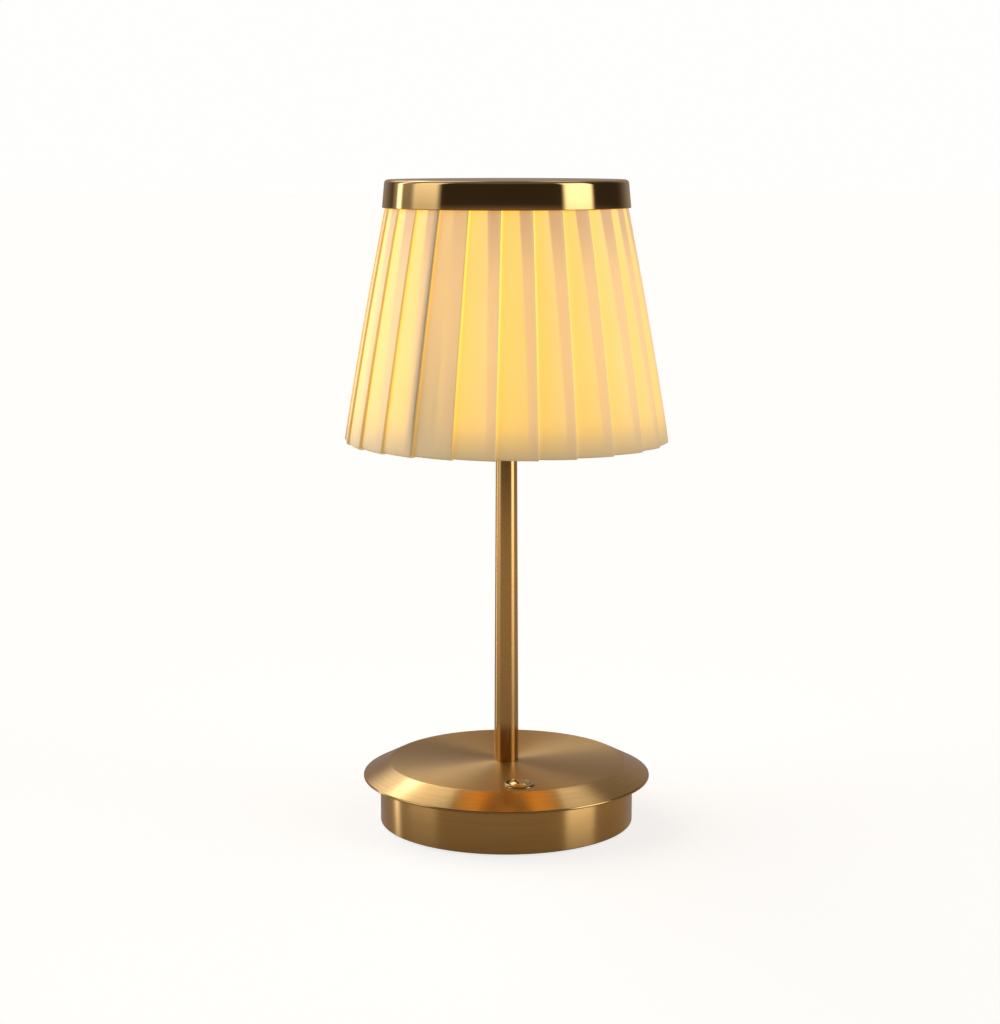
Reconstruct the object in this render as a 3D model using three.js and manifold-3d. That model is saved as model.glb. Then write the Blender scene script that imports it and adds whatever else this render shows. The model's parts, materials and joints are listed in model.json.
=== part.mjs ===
// Cordless table lamp: a two-step brass base with a battery in it, a slim stem, a light head under a
// frosted dome, and a pleated cloth shade with a brass lid that lifts off and turns.
// Millimetres, +Z up, the origin on the table under the middle of the base, the button towards -Y.
import * as THREE from 'three';
import { mergeVertices } from 'three/addons/utils/BufferGeometryUtils.js';
import Module from 'manifold-3d';

const wasm = await Module();
wasm.setup();

// ---- clearances ----
const seatGap = 0.05; // between faces that rest on each other
const fitGap = 0.3; // round a piece that sits in another's hole
const runGap = 1.0; // round the light head, for the shade frame that lifts over it

// ---- base ----
const baseRimRadius = 67.3; // the overhanging lip
const baseTopZ = 29.0;
const bevelWidth = 12.1; // from the lip to the flat top
const rimDrop = 7.1; // the lip's underside below the flat top
const rimEdge = 1.0; // height of the lip's upright edge
const plateWall = 2.0;
const rimWall = 1.5; // width of the lip where it is seen from below
const rimOverhang = 7.9; // how far the lip stands out over the drum
const drumWall = 1.6;
const drumBottomZ = 0.8;
const drumLipWidth = 7.8; // the inward flange that carries the top plate
const drumBeadHeight = 1.5; // the bead that the bottom plate is drawn up against
const drumBeadWidth = 1.6;
const footHeight = 1.6;
const footWidth = 6.0;
const bottomPlateWall = 2.0;
const weightHeight = 5.0;
const weightMargin = 5.8; // between the counterweight and the drum's wall

// ---- posts and screws that close the base ----
const postInset = 5.8; // from the counterweight's edge
const rearPostAngle = 30.4; // degrees from +Y
const frontPostAngle = 25.8; // degrees from -Y
const postRadius = 3.0;
const closingScrewRadius = 1.5;
const closingHeadRadius = 2.9;
const closingHeadHeight = 0.9;
const closingScrewReach = 5.5; // how far the screw goes up into its post

// ---- battery ----
const cellRadius = 9.2;
const cellLength = 65.0;
const cellY = -22.0;
const cradleFloor = 1.2;
const cradleSide = 1.6;
const cradleEnd = 2.2;
const cradleHeight = 8.6;

// ---- boards ----
const boardWall = 1.6;
const boardWidth = 38.0;
const boardDepth = 33.0;
const boardInset = 4.5; // the socket stands out this far past the board
const standoffHeight = 2.2;
const standoffRadius = 2.0;
const boardScrewRadius = 1.0;
const boardScrewHeadRadius = 1.8;
const boardScrewHeadHeight = 1.2;
const boardScrewSide = 3.5; // screws from the board's side edges
const boardScrewRear = 7.0; // from its rear edge
const boardScrewPitch = 15.0;
const connectorWidth = 7.0;
const connectorDepth = 5.0;
const connectorHeight = 4.0;
const connectorPitch = 12.0;

// ---- charging socket, at the back ----
const socketWidth = 9.0;
const socketHeight = 3.3;
const socketDepth = 7.4;
const socketWall = 0.35;
const socketTongueWidth = 6.6;
const socketTongueHeight = 0.7;
const socketBezelEdge = 0.9; // width of the bezel round the socket
const socketBezelProud = 0.4;

// ---- button, towards -Y ----
const buttonInset = 10.7; // from the edge of the flat top
const bezelRadius = 7.2;
const bezelHeight = 1.0;
const bezelBevel = 0.8;
const bezelNeckWall = 0.9;
const buttonRadius = 4.8;
const buttonDome = 1.2;
const buttonGap = 0.2; // all round the button
const buttonTravel = 0.7;
const buttonFlange = 0.7; // keeps the button in its bezel
const buttonFlangeHeight = 1.0;
const buttonPostRadius = 1.6;
const switchSize = 6.0;
const switchHeight = 3.5;
const plungerRadius = 1.7;
const plungerProud = 1.4;
const plungerSunk = 1.1;
const switchPocket = 2.0; // depth of the hole that the plunger works in
const buttonBoardSize = 16.0;
const buttonPostX = 5.6;

// ---- stem ----
const stemFootRadius = 5.7;
const stemTopRadius = 4.8;
const stemBore = 3.9;
const stemLength = 174.85;
const nippleRadius = 3.6;
const nippleBore = 2.2;
const nippleRise = 15.0; // how far it goes up into the stem
const washerRadius = 9.5;
const washerHeight = 1.5;
const nutHeight = 4.5;
const nutAcrossCorners = 16.2;
const nutThreadEnd = 2.5; // nipple left showing below the nut

// ---- light head ----
const headEdge = 0.6; // the head's plate past the glide washer
const headHeight = 3.0;
const headTaper = 4.0; // depth of the cone under the head's plate
const hubRadius = 7.6;
const hubHeight = 12.0;
const ledBoardRadius = 17.0;
const emitterRadius = 8.0;
const emitterHeight = 0.8;
const domeRadius = 20.0;
const domeWall = 1.6;
const domeHeight = 51.0;
const domeFlange = 1.6;
const domeFlangeHeight = 1.2;
const clampHeight = 4.2;
const clampWall = 2.0;
const glideHeight = 1.0;
const glideWidth = 3.4;

// ---- shade ----
const shadeHeight = 108.5;
const hemDrop = 25.9; // how far the hem hangs below the head's seat
const shadeBottomRadius = 74.6;
const shadeTopRadius = 55.05;
const shadeBulge = 0.6; // how far the cloth swells out between its two rings
const clothDepth = 1.2; // the pleats' whole depth
const hemLipWidth = 5.2; // cloth turned in under the lower ring
const linerWall = 0.5;
const wireRadius = 1.2;
const armWireRadius = 1.3;
const armCount = 3;
const fitterHeight = 2.0;
const fitterWidth = 4.0;
const upperRingDrop = 3.4; // below the top of the cloth
const lidRise = 10.4; // above the top of the cloth
const lidHeight = 12.7;
const lidTaper = 1.0; // how much narrower the lid is at its top
const lidGap = 0.3; // between the cloth and the lid's lower edge
const lidWall = 0.8;
const lidShoulder = 1.8;
const lidHemTurn = 0.4; // roll at the lid's lower edge

// ---- facets round a circle ----
const largeSides = 40;
const middleSides = 24;
const smallSides = 12;

// ---- leads ----
const lampLeadRadius = 1.2;
const thinLeadRadius = 0.9;
const leadSides = 8;

// ---- places worked out from the sizes ----
const baseFlatRadius = baseRimRadius - bevelWidth;
const drumRadius = baseRimRadius - rimOverhang;
const rimUndersideZ = baseTopZ - rimDrop;
const plateUndersideZ = baseTopZ - plateWall;
const plateInnerRadius = baseFlatRadius - plateWall / 2;
const rimInnerRadius = baseRimRadius - rimWall;
const undersideSlope = (plateUndersideZ - rimUndersideZ) / (rimInnerRadius - plateInnerRadius);
const drumTopZ = rimUndersideZ + (rimInnerRadius - drumRadius) * undersideSlope - seatGap;
const drumInnerRadius = drumRadius - drumWall;
const bottomPlateZ = footHeight + seatGap;
const bottomPlateTopZ = bottomPlateZ + bottomPlateWall;
const floorZ = bottomPlateTopZ + seatGap; // what stands on the bottom plate starts here
const weightRadius = drumInnerRadius - weightMargin;
const weightTopZ = floorZ + weightHeight;
const cellZ = floorZ + cradleFloor + fitGap + cellRadius;
const cradleLength = cellLength + 2 * (fitGap + cradleEnd);
const cradleWidth = 2 * (cellRadius + fitGap + cradleSide);
const boardZ = weightTopZ + standoffHeight + 2 * seatGap;
const boardTopZ = boardZ + boardWall;
const socketZ = boardTopZ + seatGap + socketHeight / 2;
const socketFrontY = drumInnerRadius - fitGap;
const boardRearY = socketFrontY - boardInset;
const boardFrontY = boardRearY - boardDepth;
const closingRadius = weightRadius - postInset;
const buttonY = buttonInset - baseFlatRadius;
const stemFootZ = baseTopZ + seatGap;
const stemTopZ = stemFootZ + stemLength;
const headPlateZ = stemTopZ + seatGap;
const headTopZ = headPlateZ + headHeight;
const headSeatZ = headTopZ + seatGap; // what stands on the head starts here
const clampRadius = domeRadius + fitGap + clampWall;
const glideInnerRadius = clampRadius + runGap * 0.7;
const fitterInnerRadius = clampRadius + runGap;
const headRadius = glideInnerRadius + glideWidth + headEdge;
const fitterZ = headSeatZ + glideHeight + seatGap;
const shadeBottomZ = headSeatZ - hemDrop;
const shadeTopZ = shadeBottomZ + shadeHeight;
const lidTopZ = shadeTopZ + lidRise;
const lidBottomZ = lidTopZ - lidHeight;
const bezelNeckRadius = buttonRadius + buttonGap + bezelNeckWall;
const bezelNeckZ = plateUndersideZ - 1.0;
const flangeTopZ = bezelNeckZ - buttonGap;
const plungerTopZ = flangeTopZ - buttonFlangeHeight - 1.2;
const switchTopZ = plungerTopZ - plungerProud;
const buttonBoardTopZ = switchTopZ - switchHeight - seatGap;
const washerTopZ = plateUndersideZ - seatGap;
const nutTopZ = washerTopZ - washerHeight - seatGap;
const nippleBottomZ = nutTopZ - nutHeight - nutThreadEnd;

const standard = (color, roughness, metalness) =>
  new THREE.MeshStandardMaterial({ color, roughness, metalness });
const satinBrass = () => standard(0xa9803f, 0.42, 1.0);
const polishedBrass = () => standard(0xb98a4a, 0.12, 1.0);
const steel = () => standard(0xb9bcc0, 0.35, 1.0);
const iron = () => standard(0x3c3d40, 0.75, 0.6);
const aluminium = () => standard(0xc9ccd0, 0.4, 1.0);
const blackPlastic = () => standard(0x1d1d1f, 0.55, 0.0);
const whitePlastic = () => standard(0xf0eee8, 0.45, 0.0);
const creamCloth = () => standard(0xf3e2bf, 0.9, 0.0);
const greenBoard = () => standard(0x1f6b3e, 0.5, 0.0);
const rubber = () => standard(0x202022, 0.9, 0.0);

// One closed skin: shared points merged, empty triangles left out, faces turned outwards.
function closedSkin(source) {
  const bare = source.clone();
  for (const name of Object.keys(bare.attributes)) if (name !== 'position') bare.deleteAttribute(name);
  const merged = mergeVertices(bare, 1e-4);
  const points = merged.attributes.position;
  const index = merged.index.array;
  const [a, b, c] = [new THREE.Vector3(), new THREE.Vector3(), new THREE.Vector3()];
  const kept = [];
  let volume = 0;
  for (let i = 0; i < index.length; i += 3) {
    const [p, q, r] = [index[i], index[i + 1], index[i + 2]];
    if (p === q || q === r || r === p) continue;
    kept.push(p, q, r);
    a.fromBufferAttribute(points, p);
    b.fromBufferAttribute(points, q);
    c.fromBufferAttribute(points, r);
    volume += a.dot(b.cross(c));
  }
  merged.setIndex(volume < 0 ? kept.reverse() : kept);
  return merged;
}

function toSolid(geometry) {
  const skin = closedSkin(geometry);
  return new wasm.Manifold(new wasm.Mesh({
    numProp: 3,
    vertProperties: new Float32Array(skin.attributes.position.array),
    triVerts: new Uint32Array(skin.index.array),
  }));
}

function toGeometry(solid) {
  const mesh = solid.getMesh();
  const geometry = new THREE.BufferGeometry();
  geometry.setAttribute('position', new THREE.BufferAttribute(mesh.vertProperties, 3));
  geometry.setIndex(new THREE.BufferAttribute(mesh.triVerts, 1));
  return geometry;
}

const cut = (body, ...tools) =>
  toGeometry(tools.reduce((solid, tool) => solid.subtract(toSolid(tool)), toSolid(body)));
const join = (body, ...others) =>
  toGeometry(others.reduce((solid, other) => solid.add(toSolid(other)), toSolid(body)));

// A turned piece: profile is a list of [radius, height] that starts and ends on the axis, or on itself.
function turned(profile, sides, x = 0, y = 0) {
  const points = profile.map(([radius, height]) => new THREE.Vector2(radius, height));
  return closedSkin(new THREE.LatheGeometry(points, sides).rotateX(Math.PI / 2)).translate(x, y, 0);
}

const disc = (radius, low, high, sides, x = 0, y = 0) =>
  turned([[0, low], [radius, low], [radius, high], [0, high]], sides, x, y);
const ring = (inner, outer, low, high, sides, x = 0, y = 0) =>
  turned([[inner, low], [outer, low], [outer, high], [inner, high], [inner, low]], sides, x, y);

const block = (width, depth, low, high, x = 0, y = 0) =>
  closedSkin(new THREE.BoxGeometry(width, depth, high - low).translate(x, y, (low + high) / 2));

// Points of an arc in a [radius, height] profile, angles in degrees from the +radius direction.
function arc(centreRadius, centreHeight, size, fromDegrees, toDegrees, steps) {
  return Array.from({ length: steps + 1 }, (_, i) => {
    const angle = THREE.MathUtils.degToRad(fromDegrees + ((toDegrees - fromDegrees) * i) / steps);
    return [centreRadius + size * Math.cos(angle), centreHeight + size * Math.sin(angle)];
  });
}

function rod(from, to, radius, sides) {
  const along = new THREE.Vector3().subVectors(to, from);
  const geometry = new THREE.CylinderGeometry(radius, radius, along.length(), sides);
  const turn = new THREE.Quaternion().setFromUnitVectors(new THREE.Vector3(0, 1, 0), along.normalize());
  const middle = new THREE.Vector3().addVectors(from, to).multiplyScalar(0.5);
  return closedSkin(geometry.applyQuaternion(turn).translate(middle.x, middle.y, middle.z));
}

// A lead along a smooth curve through the given [x, y, z] points.
function lead(points, radius, steps) {
  const section = new THREE.Shape(Array.from({ length: leadSides }, (_, i) => {
    const angle = (2 * Math.PI * i) / leadSides;
    return new THREE.Vector2(radius * Math.cos(angle), radius * Math.sin(angle));
  }));
  const path = new THREE.CatmullRomCurve3(points.map((p) => new THREE.Vector3(...p)), false, 'centripetal');
  return closedSkin(new THREE.ExtrudeGeometry(section, { steps, extrudePath: path, bevelEnabled: false }));
}

const roundSlot = (width, height, fromY, toY, z) => {
  const half = height / 2;
  const reach = width / 2 - half;
  const outline = new THREE.Shape();
  outline.absarc(reach, 0, half, -Math.PI / 2, Math.PI / 2, false);
  outline.absarc(-reach, 0, half, Math.PI / 2, (3 * Math.PI) / 2, false);
  const depth = toY - fromY;
  const geometry = new THREE.ExtrudeGeometry(outline, { depth, bevelEnabled: false, curveSegments: 5 });
  return closedSkin(geometry.rotateX(Math.PI / 2).translate(0, toY, z));
};

const lamp = new THREE.Group();
const add = (name, geometry, material, group = lamp) => {
  const mesh = new THREE.Mesh(closedSkin(geometry), material);
  mesh.name = name;
  group.add(mesh);
};

// ---- base shell ----
function makeBaseShell() {
  const plate = turned([
    [0, plateUndersideZ],
    [plateInnerRadius, plateUndersideZ],
    [rimInnerRadius, rimUndersideZ],
    [baseRimRadius, rimUndersideZ],
    [baseRimRadius, rimUndersideZ + rimEdge],
    [baseFlatRadius, baseTopZ],
    [0, baseTopZ],
  ], largeSides);
  const stemHole = disc(nippleRadius + fitGap, plateUndersideZ - 1, baseTopZ + 1, smallSides);
  const bezelHoleRadius = bezelNeckRadius + fitGap;
  const bezelHole = disc(bezelHoleRadius, plateUndersideZ - 1, baseTopZ + 1, middleSides, 0, buttonY);
  add('base_top_plate', cut(plate, stemHole, bezelHole), satinBrass());

  const beadZ = floorZ;
  const lipRadius = drumInnerRadius - drumLipWidth;
  const drum = turned([
    [drumRadius, drumBottomZ],
    [drumRadius, drumTopZ],
    [lipRadius, drumTopZ],
    [lipRadius, drumTopZ - drumWall],
    [drumInnerRadius, drumTopZ - drumWall],
    [drumInnerRadius, beadZ + drumBeadHeight],
    [drumInnerRadius - drumBeadWidth, beadZ + drumBeadHeight],
    [drumInnerRadius - drumBeadWidth, beadZ],
    [drumInnerRadius, beadZ],
    [drumInnerRadius, drumBottomZ],
    [drumRadius, drumBottomZ],
  ], largeSides);
  const bezelWidth = socketWidth + 2 * (fitGap + socketBezelEdge);
  const bezelTall = socketHeight + 2 * (fitGap + socketBezelEdge);
  const socketHole = roundSlot(bezelWidth + 2 * fitGap, bezelTall + 2 * fitGap,
    drumInnerRadius - 4, drumRadius + 2, socketZ);
  add('base_drum', cut(drum, socketHole), satinBrass());

  const bezel = roundSlot(bezelWidth, bezelTall,
    drumInnerRadius - seatGap, drumRadius + socketBezelProud, socketZ);
  const mouth = roundSlot(socketWidth + 2 * fitGap, socketHeight + 2 * fitGap,
    drumInnerRadius - 2, drumRadius + 2, socketZ);
  add('socket_bezel', cut(bezel, mouth), blackPlastic());

  const plateRadius = drumInnerRadius - fitGap;
  const screwHoles = closingPlaces().map(([x, y]) =>
    disc(closingScrewRadius + fitGap, bottomPlateZ - 1, weightTopZ + 1, smallSides, x, y));
  const bottomPlate = disc(plateRadius, bottomPlateZ, bottomPlateTopZ, largeSides);
  add('base_bottom_plate', cut(bottomPlate, ...screwHoles), steel());
  add('foot_ring', ring(plateRadius - 1 - footWidth, plateRadius - 1, 0, footHeight, largeSides), rubber());

  const cradleHole = block(cradleLength + 2 * fitGap, cradleWidth + 2 * fitGap,
    floorZ - 1, weightTopZ + 1, 0, cellY);
  const weight = disc(weightRadius, floorZ, weightTopZ, largeSides);
  add('counterweight', cut(weight, cradleHole, ...screwHoles), iron());
}

function closingPlaces() {
  const [rear, front] = [90 - rearPostAngle, frontPostAngle - 90].map(THREE.MathUtils.degToRad);
  return [rear, Math.PI - rear, front, Math.PI - front].map((angle) =>
    [closingRadius * Math.cos(angle), closingRadius * Math.sin(angle)]);
}

function makeClosingScrews() {
  const postZ = weightTopZ + seatGap;
  const screwTopZ = postZ + closingScrewReach;
  const headTop = bottomPlateZ - seatGap;
  closingPlaces().forEach(([x, y], i) => {
    const post = disc(postRadius, postZ, plateUndersideZ - seatGap, smallSides, x, y);
    const bore = disc(closingScrewRadius + fitGap, postZ - 1, screwTopZ + 1, smallSides, x, y);
    add(`plate_post_${i + 1}`, cut(post, bore), steel());
    add(`bottom_screw_${i + 1}`, turned([
      [0, headTop - closingHeadHeight],
      [closingHeadRadius, headTop - closingHeadHeight],
      [closingHeadRadius, headTop],
      [closingScrewRadius, headTop],
      [closingScrewRadius, screwTopZ],
      [0, screwTopZ],
    ], smallSides, x, y), steel());
  });
}

// ---- battery ----
function makeBattery() {
  const half = cellLength / 2;
  const trough = rod(
    new THREE.Vector3(-half - fitGap, cellY, cellZ),
    new THREE.Vector3(half + fitGap, cellY, cellZ), cellRadius + fitGap, middleSides);
  const tray = block(cradleLength, cradleWidth, floorZ, floorZ + cradleHeight, 0, cellY);
  add('battery_cradle', cut(tray, trough), blackPlastic());
  add('battery_cell', rod(
    new THREE.Vector3(-half, cellY, cellZ),
    new THREE.Vector3(half, cellY, cellZ), cellRadius, middleSides), standard(0x2f66a8, 0.4, 0.0));
}

// ---- control board, its standoffs, connectors and socket ----
function makeControlBoard() {
  const screwX = boardWidth / 2 - boardScrewSide;
  const screwY = boardRearY - boardScrewRear;
  const places = [screwX, -screwX].flatMap((x) => [[x, screwY - boardScrewPitch], [x, screwY]]);
  const hole = (x, y) => disc(boardScrewRadius + fitGap, weightTopZ - 1, boardTopZ + 1, smallSides, x, y);
  const middleY = (boardFrontY + boardRearY) / 2;
  const board = block(boardWidth, boardRearY - boardFrontY, boardZ, boardTopZ, 0, middleY);
  add('control_board', cut(board, ...places.map(([x, y]) => hole(x, y))), greenBoard());
  places.forEach(([x, y], i) => {
    add(`board_standoff_${i + 1}`, ring(boardScrewRadius + fitGap, standoffRadius,
      weightTopZ + seatGap, boardZ - seatGap, smallSides, x, y), whitePlastic());
    add(`board_screw_${i + 1}`, turned([
      [0, weightTopZ + 2 * seatGap],
      [boardScrewRadius, weightTopZ + 2 * seatGap],
      [boardScrewRadius, boardTopZ + seatGap],
      [boardScrewHeadRadius, boardTopZ + seatGap],
      [boardScrewHeadRadius, boardTopZ + seatGap + boardScrewHeadHeight],
      [0, boardTopZ + seatGap + boardScrewHeadHeight],
    ], smallSides, x, y), steel());
  });
  const connectorZ = boardTopZ + seatGap;
  const connectorY = boardFrontY + 1 + connectorDepth / 2;
  ['button_connector', 'lamp_connector', 'battery_connector'].forEach((name, i) => {
    const x = (i - 1) * connectorPitch;
    add(name, block(connectorWidth, connectorDepth, connectorZ, connectorZ + connectorHeight, x, connectorY),
      whitePlastic());
  });

  const backY = socketFrontY - socketDepth;
  const shell = roundSlot(socketWidth, socketHeight, backY, socketFrontY, socketZ);
  const inside = roundSlot(socketWidth - 2 * socketWall, socketHeight - 2 * socketWall,
    backY + 1.5, socketFrontY + 1, socketZ);
  const tongueDepth = socketDepth - 2.0;
  const tongue = block(socketTongueWidth, tongueDepth,
    socketZ - socketTongueHeight / 2, socketZ + socketTongueHeight / 2, 0, backY + 1 + tongueDepth / 2);
  add('charge_socket', join(cut(shell, inside), tongue), steel());
}

// ---- button and its switch ----
function makeButton() {
  const neckInner = buttonRadius + buttonGap;
  const bezelTopZ = stemFootZ + bezelHeight;
  add('button_bezel', turned([
    [neckInner, bezelNeckZ],
    [bezelNeckRadius, bezelNeckZ],
    [bezelNeckRadius, stemFootZ],
    [bezelRadius, stemFootZ],
    [bezelRadius - bezelBevel, bezelTopZ],
    [neckInner, bezelTopZ],
    [neckInner, bezelNeckZ],
  ], middleSides, 0, buttonY), polishedBrass());

  const domeSize = (buttonRadius ** 2 + buttonDome ** 2) / (2 * buttonDome); // radius of the dome's sphere
  const edgeDegrees = THREE.MathUtils.radToDeg(Math.asin((domeSize - buttonDome) / domeSize));
  const edgeZ = bezelTopZ - buttonGap;
  add('button_cap', turned([
    [0, plungerTopZ + seatGap],
    [buttonPostRadius, plungerTopZ + seatGap],
    [buttonPostRadius, flangeTopZ - buttonFlangeHeight],
    [buttonRadius + buttonFlange, flangeTopZ - buttonFlangeHeight],
    [buttonRadius + buttonFlange, flangeTopZ],
    [buttonRadius, flangeTopZ],
    ...arc(0, edgeZ + buttonDome - domeSize, domeSize, edgeDegrees, 90, 4).slice(0, -1),
    [0, edgeZ + buttonDome],
  ], middleSides, 0, buttonY), polishedBrass());

  const switchBase = switchTopZ - switchHeight;
  const pocketZ = switchTopZ - switchPocket;
  const pocket = disc(plungerRadius + fitGap, pocketZ, switchTopZ + 1, smallSides, 0, buttonY);
  const switchBody = block(switchSize, switchSize, switchBase, switchTopZ, 0, buttonY);
  add('tact_switch', cut(switchBody, pocket), blackPlastic());
  add('tact_plunger', disc(plungerRadius, switchTopZ - plungerSunk, plungerTopZ, smallSides, 0, buttonY),
    whitePlastic());
  const boardLow = buttonBoardTopZ - boardWall;
  const board = block(buttonBoardSize, buttonBoardSize, boardLow, buttonBoardTopZ, 0, buttonY);
  add('button_board', board, greenBoard());
  [buttonPostX, -buttonPostX].forEach((x, i) => {
    add(`button_post_${i + 1}`, disc(standoffRadius, weightTopZ + seatGap, boardLow - seatGap, smallSides,
      x, buttonY + 2), whitePlastic());
  });
}

// ---- stem and what holds its foot ----
function makeStem() {
  add('stem_tube', turned([
    [stemBore, stemFootZ],
    [stemFootRadius, stemFootZ],
    [stemTopRadius, stemTopZ],
    [stemBore, stemTopZ],
    [stemBore, stemFootZ],
  ], middleSides), satinBrass());
  const nippleTopZ = stemFootZ + nippleRise;
  add('stem_nipple', ring(nippleBore, nippleRadius, nippleBottomZ, nippleTopZ, smallSides), steel());
  const washerZ = washerTopZ - washerHeight;
  add('stem_washer', ring(nippleRadius + fitGap, washerRadius, washerZ, washerTopZ, middleSides), steel());
  const nut = disc(nutAcrossCorners / 2, nutTopZ - nutHeight, nutTopZ, 6);
  const thread = disc(nippleRadius + fitGap, nutTopZ - nutHeight - 1, nutTopZ + 1, smallSides);
  add('stem_nut', cut(nut, thread), steel());
}

// ---- leads, clipped inside the lamp all the way ----
function makeLeads() {
  const plugY = boardFrontY + 1 - fitGap;
  const plugZ = boardTopZ + seatGap + connectorHeight / 2;
  const lowZ = weightTopZ + 2;
  const into = (x) => [[x, plugY - 4, plugZ], [x, plugY, plugZ]]; // the straight end in a connector
  add('lamp_lead', lead([
    [0, 0, headTopZ - seatGap], [0, 0, 150], [0, 0, 90], [0, 0, 45], [0, 0, nippleBottomZ],
    [0, 2.2, nippleBottomZ - 2.6], [0, 7.5, plugZ + 0.2], ...into(0),
  ], lampLeadRadius, 42), standard(0x2a2a2c, 0.6, 0.0));
  const endX = cradleLength / 2 + fitGap + thinLeadRadius;
  const behindCradle = cellY + cradleWidth / 2 + 4;
  add('battery_lead_red', lead([
    [endX, cellY, cellZ - 2], [endX + 2, cellY + 9, cellZ - 2], [endX - 6, behindCradle + 6, lowZ + 1],
    [connectorPitch + 6, plugY - 11, lowZ + 2], ...into(connectorPitch + 1.6),
  ], thinLeadRadius, 14), standard(0xb3261e, 0.6, 0.0));
  add('battery_lead_black', lead([
    [-endX, cellY, cellZ - 2], [-endX - 2, cellY + 8, lowZ + 1], [-endX + 5, behindCradle, lowZ],
    [-connectorPitch, behindCradle + 1, lowZ], [0, behindCradle + 3, lowZ],
    [connectorPitch - 4, plugY - 12, lowZ + 1], ...into(connectorPitch - 1.6),
  ], thinLeadRadius, 20), standard(0x1b1b1b, 0.6, 0.0));
  const boardEdge = buttonBoardSize / 2 + fitGap;
  const boardMiddleZ = buttonBoardTopZ - boardWall / 2;
  const outerX = -endX - 6;
  const [, , , [frontPostX, frontPostY]] = closingPlaces();
  add('button_lead', lead([
    [-boardEdge, buttonY, boardMiddleZ], [-boardEdge - 3, buttonY - 0.5, boardMiddleZ],
    [frontPostX - 1, frontPostY - 5.5, lowZ + 3], [outerX + 11, frontPostY + 1, lowZ + 2],
    [outerX, cellY, lowZ + 1], [outerX + 2, behindCradle + 9, lowZ + 1],
    [-2 * connectorPitch, plugY - 9, lowZ + 1], ...into(-connectorPitch),
  ], thinLeadRadius, 26), standard(0xd9d5cc, 0.6, 0.0));
}

// ---- light head ----
function makeHead() {
  const hubBottomZ = headPlateZ - hubHeight;
  const hubBore = stemTopRadius + fitGap;
  const leadHole = lampLeadRadius + 2 * fitGap;
  add('head_plate', turned([
    [leadHole, headTopZ],
    [leadHole, headPlateZ],
    [hubBore, headPlateZ],
    [hubBore, hubBottomZ],
    [hubRadius, hubBottomZ],
    [hubRadius, headPlateZ - headTaper],
    [headRadius - 2, headPlateZ + headHeight / 3],
    [headRadius, headPlateZ + headHeight / 2],
    [headRadius, headTopZ],
    [leadHole, headTopZ],
  ], middleSides), aluminium());
  const emitterZ = headSeatZ + boardWall + seatGap;
  add('led_board', disc(ledBoardRadius, headSeatZ, headSeatZ + boardWall, middleSides), aluminium());
  const emitter = disc(emitterRadius, emitterZ, emitterZ + emitterHeight, smallSides);
  add('led_emitter', emitter, standard(0xf2c648, 0.5, 0.0));

  const innerRadius = domeRadius - domeWall;
  const domeCentreZ = headSeatZ + domeHeight - domeRadius;
  const flangeTop = headSeatZ + domeFlangeHeight;
  add('diffuser_dome', turned([
    [0, domeCentreZ + innerRadius],
    ...arc(0, domeCentreZ, innerRadius, 90, 0, 5).slice(1),
    [innerRadius, headSeatZ],
    [domeRadius + domeFlange, headSeatZ],
    [domeRadius + domeFlange, flangeTop],
    [domeRadius, flangeTop],
    ...arc(0, domeCentreZ, domeRadius, 0, 90, 5).slice(0, -1),
    [0, domeCentreZ + domeRadius],
  ], middleSides), whitePlastic());
  add('diffuser_clamp', ring(domeRadius + fitGap, clampRadius, flangeTop + seatGap, flangeTop + clampHeight,
    middleSides), polishedBrass());
  add('glide_washer', ring(glideInnerRadius, glideInnerRadius + glideWidth, headSeatZ, headSeatZ + glideHeight,
    middleSides), whitePlastic());
}

// ---- shade: outer radius of the cloth at a height ----
function shadeRadius(z) {
  const t = (shadeTopZ - z) / (shadeTopZ - shadeBottomZ);
  return shadeTopRadius + (shadeBottomRadius - shadeTopRadius) * t + shadeBulge * 4 * t * (1 - t);
}

// Points down a cone that runs a set depth inside the cloth's outer face.
function shadeLine(depth, fromZ, toZ, steps = 3) {
  return Array.from({ length: steps + 1 }, (_, i) => {
    const z = fromZ + ((toZ - fromZ) * i) / steps;
    return [shadeRadius(z) - depth, z];
  });
}

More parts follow.
